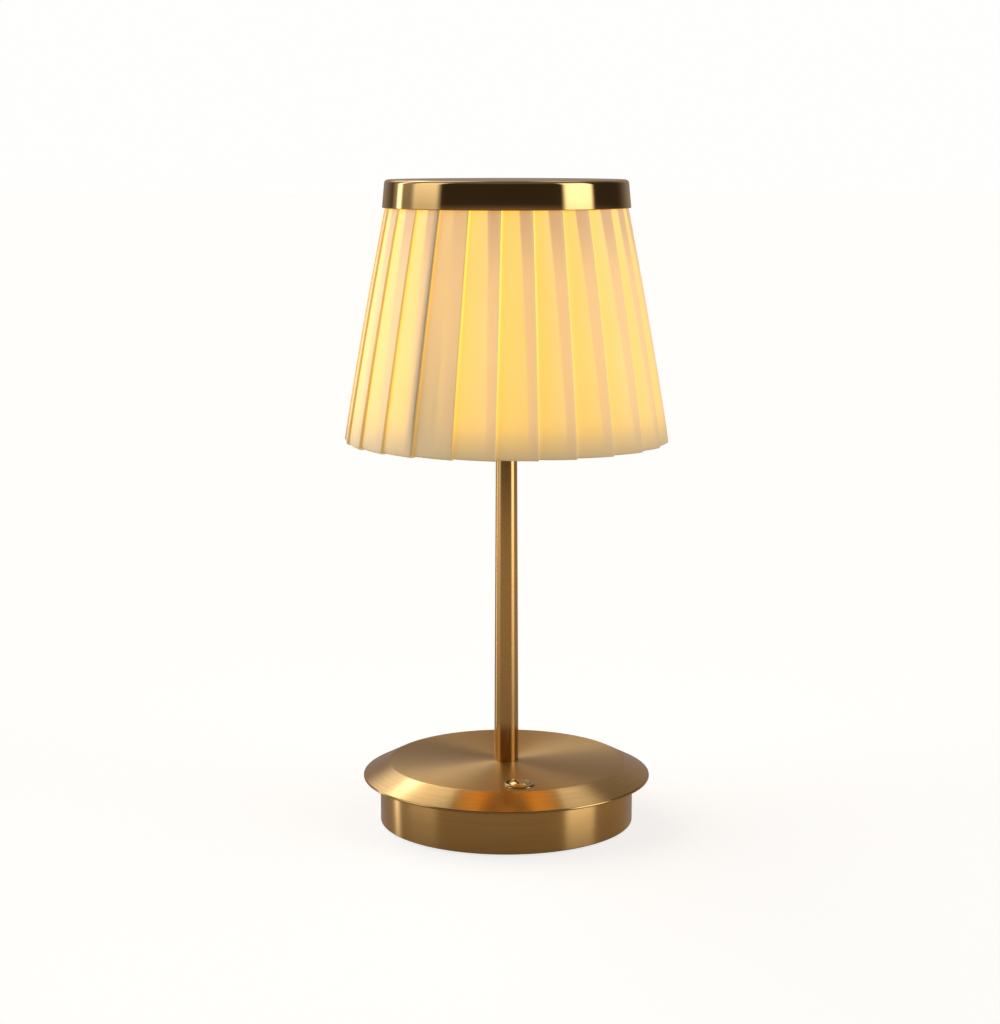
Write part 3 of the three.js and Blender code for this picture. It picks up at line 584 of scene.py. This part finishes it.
baseSizes = {"sides": 256, "lipEdge": 0.35 * mm, "bevelEdge": 0.7 * mm, "drumEdge": 0.4 * mm,
             "wall": 1.6 * mm, "bevelWidth": 12.1 * mm, "lipHeight": 1.0 * mm, "rimUnder": 1.5 * mm,
             "plateWall": 2.0 * mm, "stemHole": 3.95 * mm, "buttonHole": 6.1 * mm, "drumLip": 9.4 * mm,
             "screwHole": 1.8 * mm, "footWidth": 6 * mm, "socketGap": 0.2 * mm}


def cutAway(piece, *cutters):
    for cutter in cutters:
        step = piece.modifiers.new("hole", "BOOLEAN")
        step.operation, step.solver, step.object = "DIFFERENCE", "EXACT", cutter
    evaluated = piece.evaluated_get(bpy.context.evaluated_depsgraph_get())
    mesh = bpy.data.meshes.new_from_object(evaluated)
    piece.modifiers.clear()
    piece.data = mesh
    for cutter in cutters:
        bpy.data.objects.remove(cutter)
    return piece


def middle(node):
    low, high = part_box(node)
    return (low + high) / 2


def drill(radius, low, high, centre):
    outline = [(0.0, low), (radius, low), (radius, high), (0.0, high)]
    return turnedMesh("drill", outline, 96, centre, closed=False)


def makeBase(materials):
    brass = materials["satin_brass"]
    low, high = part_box("base_top_plate")
    rim, under, top = high.x, low.z, high.z
    flat, wall = rim - baseSizes["bevelWidth"], baseSizes["plateWall"]
    hole, edge = baseSizes["stemHole"], baseSizes["lipEdge"]
    profile = roundedProfile([
        (hole, top - wall, 0), (flat - wall / 2, top - wall, 0),
        (rim - baseSizes["rimUnder"], under, 0.3 * mm),
        (rim, under, edge), (rim, under + baseSizes["lipHeight"], edge), (flat, top, baseSizes["bevelEdge"]),
        (hole, top, 0),
    ])
    plate = turnedMesh("baseTop", profile, baseSizes["sides"])
    button = middle("button_bezel")
    cutAway(plate, drill(baseSizes["buttonHole"], top - 4 * mm, top + 4 * mm, (button.x, button.y)))
    sharpenByAngle(plate)
    dress(plate, brass, "root", "satin_brass", "base_top_plate")

    low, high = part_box("base_drum")
    outer, wall = high.x, baseSizes["wall"]
    edge, lip = baseSizes["drumEdge"], baseSizes["drumLip"]
    drum = turnedMesh("baseDrum", roundedProfile([
        (outer, low.z, edge), (outer, high.z, edge),
        (outer - lip, high.z, 0), (outer - lip, high.z - wall, 0),
        (outer - wall, high.z - wall, 0.4 * mm), (outer - wall, low.z, edge),
    ]), baseSizes["sides"])
    low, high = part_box("socket_bezel")
    gap = baseSizes["socketGap"]
    hole = slotPrism("socketHole", high.x + gap, (high.z - low.z) / 2 + gap, low.y - 6 * mm, high.y + 4 * mm,
                     (low.z + high.z) / 2)
    cutAway(drum, hole)
    sharpenByAngle(drum)
    dress(drum, brass, "root", "satin_brass", "base_drum")

    low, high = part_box("base_bottom_plate")
    plate = turnedMesh("bottomPlate", roundedProfile([
        (0.0, low.z, 0), (high.x, low.z, 0.3 * mm), (high.x, high.z, 0.3 * mm), (0.0, high.z, 0)], False),
        128, closed=False)
    screws = [middle(f"bottom_screw_{number}") for number in (1, 2, 3, 4)]
    cutAway(plate, *[drill(baseSizes["screwHole"], 0.0, 8 * mm, (place.x, place.y)) for place in screws])
    sharpenByAngle(plate)
    dress(plate, materials["zinc_steel"], "root", "zinc_steel", "base_bottom_plate")

    low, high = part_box("foot_ring")
    inner, edge = high.x - baseSizes["footWidth"], 0.5 * mm
    foot = turnedMesh("footRing", roundedProfile([
        (inner, low.z, edge), (high.x, low.z, edge), (high.x, high.z, 0), (inner, high.z, 0)]), 128)
    sharpenByAngle(foot)
    dress(foot, materials["foot_rubber"], "root", "foot_rubber", "foot_ring")
    print("base ready")


def slotPrism(name, halfWidth, halfHeight, fromY, toY, z, steps=16, inner=None):
    # a bar with round ends lying along Y; with inner, a hole of that wall is left along it
    def outline(width, height):
        reach = width - height
        ring = arcPoints((reach, z), height, -90, 90, steps) + arcPoints((-reach, z), height, 90, 270, steps)
        return ring
    rings = [outline(halfWidth, halfHeight)]
    if inner:
        rings.append(outline(halfWidth - inner, halfHeight - inner))
    count = len(rings[0])
    points = [(x, y, height) for ring in rings for y in (fromY, toY) for x, height in ring]
    faces = []
    for index in range(count):
        after = (index + 1) % count
        faces.append((index, index + count, after + count, after))
        if inner:
            low, high = 2 * count, 3 * count
            faces.append((low + after, high + after, high + index, low + index))
            faces.append((index, after, low + after, low + index))
            faces.append((count + after, count + index, high + index, high + after))
    if not inner:
        faces += [tuple(range(count)), tuple(range(2 * count - 1, count - 1, -1))]
    return meshObject(name, points, faces)


socketSizes = {"wall": 0.9 * mm, "edge": 0.22 * mm}


def makeSocket(materials):
    low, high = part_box("socket_bezel")
    z, wall = (low.z + high.z) / 2, socketSizes["wall"]
    bezel = slotPrism("socketBezel", high.x, (high.z - low.z) / 2, low.y, high.y, z, inner=wall)
    edge = bezel.modifiers.new("edge", "BEVEL")
    edge.width, edge.segments, edge.angle_limit = socketSizes["edge"], 3, math.radians(50)
    sharpenByAngle(bezel)
    dress(bezel, materials["black_plastic"], "root", "black_plastic", "socket_bezel")


# closing screws under the base

screwSizes = {"head": 2.9 * mm, "height": 0.9 * mm, "shaft": 1.5 * mm, "slot": 0.5 * mm,
              "slotReach": 1.7 * mm, "slotDepth": 0.55 * mm}


def screwMesh():
    low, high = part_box("bottom_screw_1")
    size = screwSizes
    neck, head = low.z + size["height"], size["head"]
    screw = turnedMesh("screw", roundedProfile([
        (0.0, low.z, 0), (head, low.z, 0.35 * mm), (head, neck, 0), (size["shaft"], neck, 0),
        (size["shaft"], high.z, 0.3 * mm), (0.0, high.z, 0)], False), 32, closed=False)
    bars = []
    for wide, deep in ((size["slotReach"], size["slot"] / 2), (size["slot"] / 2, size["slotReach"])):
        corners = [(x * wide, y * deep, z) for z in (low.z - mm, low.z + size["slotDepth"])
                   for x, y in ((-1, -1), (1, -1), (1, 1), (-1, 1))]
        sides = [(0, 3, 2, 1), (4, 5, 6, 7), (0, 1, 5, 4), (1, 2, 6, 5), (2, 3, 7, 6), (3, 0, 4, 7)]
        bars.append(meshObject("bar", corners, sides, smooth=False))
    return cutAway(screw, *bars)


def makeClosingScrews(materials):
    # one screw, set on four points by its tree
    rear, front = middle("bottom_screw_1"), middle("bottom_screw_3")
    sizes = {"Radius": math.hypot(rear.x, rear.y), "Rear angle": math.atan2(rear.y, rear.x),
             "Front angle": math.atan2(front.y, front.x), "Screws": 4}
    tree, maker = geometryTree("closingScrews")
    # the screw comes in on the first input, which is the one that takes the holder's own mesh
    source = tree.interface.new_socket(name="Screw", in_out="INPUT", socket_type="NodeSocketGeometry")
    size = groupInputs(tree, maker, sizes)
    screw = Wire(maker, next(node for node in tree.nodes if node.type == "GROUP_INPUT").outputs[source.name])
    index = maker.add("GeometryNodeInputIndex")
    isFront = index.sum("GREATER_THAN", index, 1.5)
    angle = size["Rear angle"] + (size["Front angle"] - size["Rear angle"]) * isFront
    side = 1.0 - 2.0 * (index % 2.0)
    x = size["Radius"] * angle.sum("COSINE", angle) * side
    y = size["Radius"] * angle.sum("SINE", angle)
    points = maker.add("GeometryNodePoints", None, size["Screws"],
                       maker.add("ShaderNodeCombineXYZ", None, x, y, 0.0))
    placed = maker.add("GeometryNodeInstanceOnPoints", None, points, Instance=screw)
    endTree(tree, maker, placed, materials["zinc_steel"])
    pattern = screwMesh()
    made = meshFromTree("closingScrews", tree, sizes, pattern)
    sharpenByAngle(made, 30)
    dress(made, materials["zinc_steel"], "root", "zinc_steel", *[f"bottom_screw_{n}" for n in (1, 2, 3, 4)])


# button

buttonSizes = {"bevel": 0.8 * mm, "neck": 5.9 * mm, "bore": 5.0 * mm, "seat": 1.0 * mm, "cap": 4.8 * mm,
               "flange": 5.5 * mm, "flangeHeight": 1.0 * mm, "dome": 1.2 * mm, "post": 1.6 * mm}


def makeButton(materials):
    size = buttonSizes
    low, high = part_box("button_bezel")
    place = middle("button_bezel")
    centre, outer, seat = (place.x, place.y), (high.x - low.x) / 2, high.z - size["seat"]
    bezel = turnedMesh("buttonBezel", roundedProfile([
        (size["bore"], low.z, 0.1 * mm), (size["neck"], low.z, 0.1 * mm), (size["neck"], seat, 0),
        (outer, seat, 0.15 * mm), (outer, seat + 0.25 * mm, 0.12 * mm),
        (outer - size["bevel"], high.z, 0.25 * mm),
        (size["bore"], high.z, 0.18 * mm)]), 96, centre)
    sharpenByAngle(bezel, 45)
    dress(bezel, materials["polished_brass"], "root", "polished_brass", "button_bezel")

    low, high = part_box("button_cap")
    dome = (size["cap"] ** 2 + size["dome"] ** 2) / (2 * size["dome"])
    edge = high.z - size["dome"]
    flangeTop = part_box("button_bezel")[0].z - 0.2 * mm
    start = math.degrees(math.asin((dome - size["dome"]) / dome))
    profile = [(0.0, low.z), (size["post"], low.z), (size["post"], flangeTop - size["flangeHeight"]),
               (size["flange"], flangeTop - size["flangeHeight"]), (size["flange"], flangeTop),
               (size["cap"], flangeTop), (size["cap"], edge - 0.12 * mm)]
    profile += arcPoints((0.0, high.z - dome), dome, start + 1.0, 90, 18)[:-1] + [(0.0, high.z)]
    cap = turnedMesh("buttonCap", profile, 96, centre, closed=False)
    sharpenByAngle(cap, 45)
    dress(cap, materials["polished_brass"], "button", "polished_brass", "button_cap")


# stem and light head

stemSizes = {"top": 4.8 * mm, "bore": 3.9 * mm}


def makeStem(materials):
    low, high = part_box("stem_tube")
    foot, top, bore = high.x, stemSizes["top"], stemSizes["bore"]
    profile = roundedProfile([
        (bore, low.z, 0), (foot, low.z, 0.2 * mm), (top, high.z, 0.3 * mm), (bore, high.z, 0.2 * mm)])
    stem = turnedMesh("stem", profile, 96)
    sharpenByAngle(stem)
    dress(stem, materials["stemBrass"], "root", "satin_brass", "stem_tube")


headSizes = {"bore": 1.8 * mm, "hub": 7.6 * mm, "hubBore": 5.1 * mm, "plate": 3.0 * mm, "taper": 4.0 * mm,
             "dome": 20.0 * mm, "domeWall": 1.6 * mm, "flangeHeight": 1.2 * mm, "clampWall": 2.0 * mm,
             "glide": 3.4 * mm}


def makeHead(materials):
    size = headSizes
    low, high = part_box("head_plate")
    rim, top, plate = high.x, high.z, high.z - size["plate"]
    bore, hub, hubBore = size["bore"], size["hub"], size["hubBore"]
    head = turnedMesh("headPlate", roundedProfile([
        (bore, top, 0), (bore, plate, 0), (hubBore, plate, 0), (hubBore, low.z, 0.3 * mm),
        (hub, low.z, 0.5 * mm), (hub, plate - size["taper"], 1.5 * mm), (rim - 2 * mm, plate + mm, 0.5 * mm),
        (rim, plate + 1.5 * mm, 0.3 * mm), (rim, top, 0.3 * mm)]), 128)
    sharpenByAngle(head)
    dress(head, materials["head_aluminium"], "root", "head_aluminium", "head_plate")

    low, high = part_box("diffuser_dome")
    outer, inner = size["dome"], size["dome"] - size["domeWall"]
    centre, flange = high.z - outer, low.z + size["flangeHeight"]
    profile = [(0.0, centre + inner)] + arcPoints((0.0, centre), inner, 90, 0, 24)[1:]
    profile += [(inner, low.z), (high.x, low.z), (high.x, flange)]
    profile += [(outer + 0.3 * mm, flange), (outer, flange + 0.3 * mm)]
    profile += arcPoints((0.0, centre), outer, 0, 90, 28)[:-1] + [(0.0, high.z)]
    dome = turnedMesh("diffuserDome", profile, 128, closed=False)
    sharpenByAngle(dome, 40)
    dress(dome, materials["frosted_dome"], "root", "frosted_dome", "diffuser_dome")

    low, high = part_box("diffuser_clamp")
    inner, edge = high.x - size["clampWall"], 0.4 * mm
    clamp = turnedMesh("diffuserClamp", roundedProfile([
        (inner, low.z, 0), (high.x, low.z, edge), (high.x, high.z, edge), (inner, high.z, edge)]), 128)
    sharpenByAngle(clamp)
    dress(clamp, materials["polished_brass"], "root", "polished_brass", "diffuser_clamp")

    low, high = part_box("glide_washer")
    inner = high.x - size["glide"]
    washer = turnedMesh("glideWasher", roundedProfile([
        (inner, low.z, 0.15 * mm), (high.x, low.z, 0.15 * mm),
        (high.x, high.z, 0.25 * mm), (inner, high.z, 0.25 * mm)]), 128)
    sharpenByAngle(washer)
    dress(washer, materials["white_plastic"], "glide", "white_plastic", "glide_washer")
    print("head ready")


# shade: outline, frame, liner and lid

shadeSizes = {"bulge": 0.6 * mm, "linerDepth": 1.5 * mm, "linerWall": 0.5 * mm, "wire": 1.2 * mm,
              "armWire": 1.3 * mm, "lidWall": 0.8 * mm, "lidTaper": 1.0 * mm, "shoulder": 1.8 * mm,
              "fitter": 4.0 * mm, "ringInset": 1.615 * mm}


def shadeRadius(z):  # the cloth's outer radius at a height
    low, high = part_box("pleated_cloth")
    share = (high.z - z) / (high.z - low.z)
    narrow = shadeTopRadius()
    return narrow + (high.x - narrow) * share + shadeSizes["bulge"] * 4 * share * (1 - share)


def shadeTopRadius():
    low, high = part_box("upper_ring")
    return high.x + shadeSizes["ringInset"]


def tube(name, start, end, radius, sides=24):
    along = (end - start).normalized()
    side = along.orthogonal().normalized()
    other = along.cross(side)
    points, faces = [], []
    for place in (start, end):
        for index in range(sides):
            angle = 2 * math.pi * index / sides
            points.append(tuple(place + (side * math.cos(angle) + other * math.sin(angle)) * radius))
    for index in range(sides):
        after = (index + 1) % sides
        faces.append((index, after, after + sides, index + sides))
    faces += [tuple(range(sides - 1, -1, -1)), tuple(range(sides, 2 * sides))]
    return meshObject(name, points, faces)


def wireRing(name, node, wire, materials):
    low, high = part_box(node)
    centre = (high.x - wire, (low.z + high.z) / 2)
    ring = turnedMesh(name, arcPoints(centre, wire, 0, 360, 20)[:-1], 192)
    return dress(ring, materials["shade_wire"], "shade", "shade_wire", node)


def makeShadeFrame(materials):
    wireRing("upperRing", "upper_ring", shadeSizes["wire"], materials)
    wireRing("lowerRing", "lower_ring", shadeSizes["wire"], materials)
    low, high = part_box("fitter_ring")
    inner, edge = high.x - shadeSizes["fitter"], 0.3 * mm
    fitter = turnedMesh("fitterRing", roundedProfile([
        (inner, low.z, edge), (high.x, low.z, edge), (high.x, high.z, edge), (inner, high.z, edge)]), 128)
    sharpenByAngle(fitter)
    dress(fitter, materials["shade_wire"], "shade", "shade_wire", "fitter_ring")
    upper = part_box("upper_ring")
    footRadius, topRadius = high.x - shadeSizes["fitter"] / 2, upper[1].x - shadeSizes["wire"]
    topHeight = (upper[0].z + upper[1].z) / 2
    for number in (1, 2, 3):
        angle = math.pi / 2 + 2 * math.pi * (number - 1) / 3
        outward = Vector((math.cos(angle), math.sin(angle), 0.0))
        start = outward * footRadius + Vector((0, 0, high.z + 0.45 * mm))
        end = outward * topRadius + Vector((0, 0, topHeight))
        end = end - (end - start).normalized() * (shadeSizes["wire"] + 0.1 * mm)
        arm = tube(f"frameArm{number}", start, end, shadeSizes["armWire"])
        sharpenByAngle(arm)
        dress(arm, materials["shade_wire"], "shade", "shade_wire", f"frame_arm_{number}")

    low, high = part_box("shade_liner")
    heights = [low.z + (high.z - low.z) * step / 24 for step in range(25)]
    outer = [(shadeRadius(z) - shadeSizes["linerDepth"], z) for z in heights]
    inner = [(radius - shadeSizes["linerWall"], z) for radius, z in reversed(outer)]
    liner = turnedMesh("shadeLiner", outer + inner, 192)
    sharpenByAngle(liner)
    dress(liner, materials["shade_liner"], "shade", "shade_liner", "shade_liner")
    print("shade frame ready")


def makeLid(materials):
    low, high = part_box("top_lid")
    outer, top, wall, shoulder = high.x, high.z, shadeSizes["lidWall"], shadeSizes["shoulder"]
    upper = outer - shadeSizes["lidTaper"]
    centre = (upper - shoulder, top - shoulder)
    profile = [(0.0, top - wall)]
    profile += arcPoints(centre, shoulder - wall, 90, 0, 12)
    profile += [(outer - wall, low.z + 0.5 * mm)]
    profile += arcPoints((outer - wall / 2, low.z + wall / 2), wall / 2, 180, 360, 10)
    profile += arcPoints(centre, shoulder, 0, 90, 16)
    profile += [(0.0, top)]
    lid = turnedMesh("topLid", profile, 256, closed=False)
    sharpenByAngle(lid, 50)
    dress(lid, materials["polished_brass"], "shade", "polished_brass", "top_lid")


# pleated cloth

pleats = {
    "count": 25, "steps": 32, "rows": 44, "phase": 3.4, "clothPerPleat": 27.0 * mm,
    "topLift": 1.10 * mm, "hemLift": 1.30 * mm, "depth": 1.15 * mm, "bulge": shadeSizes["bulge"],
    "hemTurn": 5.6 * mm, "hemUp": 5 * mm, "foldDrop": 0.4 * mm, "patternHeight": 130 * mm,
    "edgeJitter": 0.05, "tuckJitter": 0.16, "liftJitter": 0.22, "slant": 0.045,
    "pucker": 0.10 * mm, "thickness": 0.20 * mm, "lean": 1.6, "seamPleat": 21.0, "seamLift": 0.45, "seed": 7,
}
# along the cloth within one pleat: how far round it has gone, how far it is tucked back, how high it stands
goesRound = [(0.0, 0.0), (0.485, 0.985), (0.50, 1.0), (1.0, 1.0)]
tucksBack = [(0.0, 0.0), (0.515, 0.0), (0.545, -0.05), (0.76, -0.98), (0.78, -1.0), (0.80, -0.98), (1.0, 0.0)]
standsUp = [(0.0, 0.0), (0.06, 0.20), (0.14, 0.40), (0.24, 0.60), (0.36, 0.82), (0.47, 1.0), (0.50, 0.98),
            (0.525, 0.86), (0.55, 0.76), (0.76, 0.36), (0.78, 0.28), (0.80, 0.18), (1.0, 0.0)]
# up the cloth from the end of the turned hem: height share and how far it is turned in
hemRise = [(0.0, 0.045), (0.06, 0.012), (0.09, 0.002), (0.17, 0.0), (0.20, 0.003), (0.23, 0.010),
           (0.27, 0.03), (1.0, 1.0)]
hemIn = [(0.0, 1.0), (0.06, 0.97), (0.09, 0.90), (0.17, 0.14), (0.20, 0.04), (0.23, 0.0),
         (0.27, 0.0), (1.0, 0.0)]


def groupInputs(tree, maker, sizes):
    for name, value in sizes.items():
        kind = "NodeSocketInt" if isinstance(value, int) else "NodeSocketFloat"
        tree.interface.new_socket(name=name, in_out="INPUT", socket_type=kind).default_value = value
    source = tree.nodes.new("NodeGroupInput")
    return {name: Wire(maker, source.outputs[name]) for name in sizes}


def geometryTree(name):
    tree = bpy.data.node_groups.new(name, "GeometryNodeTree")
    tree.interface.new_socket(name="Geometry", in_out="OUTPUT", socket_type="NodeSocketGeometry")
    return tree, Maker(tree)


def endTree(tree, maker, geometry, material):
    real = maker.add("GeometryNodeRealizeInstances", None, geometry)
    painted = maker.add("GeometryNodeSetMaterial", None, real, Material=material)
    output = tree.nodes.new("NodeGroupOutput")
    maker.feed(output.inputs[0], painted)


def meshFromTree(name, tree, sizes, holder=None):
    # runs the tree once, on the holder's own mesh where one is given, and keeps the result as a plain mesh
    if holder is None:
        holder = bpy.data.objects.new(name + "Source", bpy.data.meshes.new(name + "Source"))
        bpy.context.scene.collection.objects.link(holder)
    modifier = holder.modifiers.new(name, "NODES")
    modifier.node_group = tree
    for item in tree.interface.items_tree:
        if item.in_out == "INPUT" and item.name in sizes:
            modifier[item.identifier] = sizes[item.name]
    holder.data.update()
    evaluated = holder.evaluated_get(bpy.context.evaluated_depsgraph_get())
    mesh = bpy.data.meshes.new_from_object(evaluated)
    mesh.name = name
    bpy.data.objects.remove(holder)
    made = bpy.data.objects.new(name, mesh)
    bpy.context.scene.collection.objects.link(made)
    return made


def pleatTree(material):
    low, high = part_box("pleated_cloth")
    outer = high.x
    sizes = {
        "Pleats": pleats["count"], "Steps": pleats["steps"], "Rows": pleats["rows"],
        "Top radius": shadeTopRadius(), "Hem radius": outer, "Top height": high.z, "Hem height": low.z,
        "Bulge": pleats["bulge"], "Depth": pleats["depth"], "Cloth per pleat": pleats["clothPerPleat"],
        "Top lift": pleats["topLift"], "Hem lift": pleats["hemLift"], "Hem turn": pleats["hemTurn"],
        "Phase": pleats["phase"], "Lean": pleats["lean"], "Seed": pleats["seed"],
        "Seam pleat": pleats["seamPleat"], "Seam lift": pleats["seamLift"],
    }
    tree, maker = geometryTree("pleatedCloth")
    size = groupInputs(tree, maker, sizes)
    columns = size["Pleats"] * size["Steps"]
    grid = maker.add("GeometryNodeMeshGrid", None, 1.0, 1.0, columns + 1.0, size["Rows"] + 1.0)
    place = maker.add("ShaderNodeSeparateXYZ", None, maker.add("GeometryNodeInputPosition"))
    column = place.sum("ROUND", (place + 0.5) * columns)
    row = place.out("Y") + 0.5
    pleat = column.sum("FLOOR", column / size["Steps"] + 0.0001)
    share = (column - pleat * size["Steps"]) / size["Steps"]

    def fromCurve(value, points):
        return maker.add("ShaderNodeFloatCurve", {"curve": points}, 1.0, value)

    def chance(low, high, index, salt):
        node = maker.add("FunctionNodeRandomValue", {"data_type": "FLOAT"}).socket.node
        which = (index + size["Pleats"]) % size["Pleats"]
        values = {"Min": low, "Max": high, "ID": which, "Seed": size["Seed"] + salt}
        for socket in node.inputs:
            if socket.enabled and socket.name in values:
                maker.feed(socket, values[socket.name])
        return Wire(maker, next(socket for socket in node.outputs if socket.enabled))

    forward, back = fromCurve(share, goesRound), fromCurve(share, tucksBack)
    stand = fromCurve(share, standsUp)
    rise, inward = fromCurve(row, hemRise), fromCurve(row, hemIn)
    down = 1.0 - rise
    height = size["Hem height"] + (size["Top height"] - size["Hem height"]) * rise
    spread = size["Hem radius"] - size["Top radius"]
    outside = size["Top radius"] + spread * down + size["Bulge"] * 4.0 * down * (1.0 - down)

    pitch = 2 * math.pi / size["Pleats"]
    seen = outside * pitch
    uneven = 1.0 + chance(-1.0, 1.0, pleat, 3) * pleats["tuckJitter"]
    tuck = (size["Cloth per pleat"] - seen) / 2.0 / seen * uneven

    def edgeJitter(index):
        sideways = chance(-1.0, 1.0, index, 1) * pleats["edgeJitter"]
        return sideways + chance(-1.0, 1.0, index, 2) * pleats["slant"] * (rise - 0.5)

    jitterHere, jitterBefore = edgeJitter(pleat), edgeJitter(pleat - 1.0)
    jitter = jitterBefore + (jitterHere - jitterBefore) * forward
    angle = (pleat + forward + back * tuck + jitter) * pitch - math.pi / 2
    angle = angle + (size["Phase"] + (rise - 0.5) * size["Lean"]) * degree

    lift = size["Hem lift"] + (size["Top lift"] - size["Hem lift"]) * rise
    lift = lift * (1.0 + chance(-1.0, 1.0, pleat, 4) * pleats["liftJitter"] * (1.0 - rise))

    def isPleat(number):
        away = pleat - number
        return 1.0 - away.sum("ABSOLUTE", away).step(0.1, 0.9)

    isSeam, isBeside = isPleat(size["Seam pleat"]), isPleat(size["Seam pleat"] + 1.0)
    lift = lift * (1.0 + isSeam * size["Seam lift"])
    ripplePoint = maker.add("ShaderNodeCombineXYZ", None, pleat * 3.7, rise * 2.2, forward * 0.8)
    rippleNoise = maker.add("ShaderNodeTexNoise", None, Vector=ripplePoint, Scale=1.6, Detail=2.0)
    ripple = (rippleNoise - 0.5) * pleats["pucker"]
    flat = 1.0 - inward * 0.75
    radius = outside - size["Depth"] + (lift * stand + ripple) * flat - inward * size["Hem turn"]
    drop = height - stand * pleats["foldDrop"] * (1.0 - rise.step(0.0, 0.06)) * flat
    x = radius * angle.sum("COSINE", angle)
    y = radius * angle.sum("SINE", angle)
    point = maker.add("ShaderNodeCombineXYZ", None, x, y, drop)

    def store(geometry, name, value, kind="FLOAT", domain="POINT"):
        settings = {"data_type": kind, "domain": domain}
        node = maker.add("GeometryNodeStoreNamedAttribute", settings, geometry).socket.node
        node.inputs["Name"].default_value = name
        maker.feed(next(s for s in node.inputs if s.name == "Value" and s.enabled), value)
        return Wire(maker, node.outputs[0])

    clothLength = size["Pleats"] * size["Cloth per pleat"]
    flatPoint = maker.add(
        "ShaderNodeCombineXYZ", None, (column / columns) * clothLength, row * pleats["patternHeight"], 0.0)
    marked = store(grid, "UVMap", flatPoint, "FLOAT2", "CORNER")  # stored while the grid is still flat
    marked = store(marked, "across", forward)
    marked = store(marked, "tuck", tuck)
    marked = store(marked, "up", rise - inward * 0.1)
    # under marks the tucked-under cloth, which the cloth's material paints in shade
    marked = store(marked, "under", share.step(0.49, 0.55))
    marked = store(marked, "tone", chance(0.0, 1.0, pleat, 5))
    # the seam pleat, where the cloth's material paints a shadow
    marked = store(marked, "seamShade", isSeam)
    marked = store(marked, "beside", isBeside)
    shaped = maker.add("GeometryNodeSetPosition", None, marked, Position=point)
    welded = maker.add("GeometryNodeMergeByDistance", None, shaped, Distance=0.00001)
    smooth = maker.add("GeometryNodeSetShadeSmooth", None, welded)
    endTree(tree, maker, smooth, material)
    return tree, sizes


def makeCloth(materials):
    tree, sizes = pleatTree(materials["pleated_cloth"])
    cloth = meshFromTree("pleatedCloth", tree, sizes)
    thick = cloth.modifiers.new("thickness", "SOLIDIFY")
    thick.thickness = pleats["thickness"]
    thick.offset = -1.0
    dress(cloth, materials["pleated_cloth"], "shade", "pleated_cloth", "pleated_cloth")
    low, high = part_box("pleated_cloth")
    slant = math.hypot(high.z - low.z, high.x - sizes["Top radius"])
    print("cloth ready:", len(cloth.data.polygons), "faces")


makeCamera()
makeStudio()
materials = makeMaterials()
finishNodes(materials)
makeBase(materials)
makeSocket(materials)
makeClosingScrews(materials)
makeButton(materials)
makeStem(materials)
makeHead(materials)
makeShadeFrame(materials)
makeCloth(materials)
makeLid(materials)
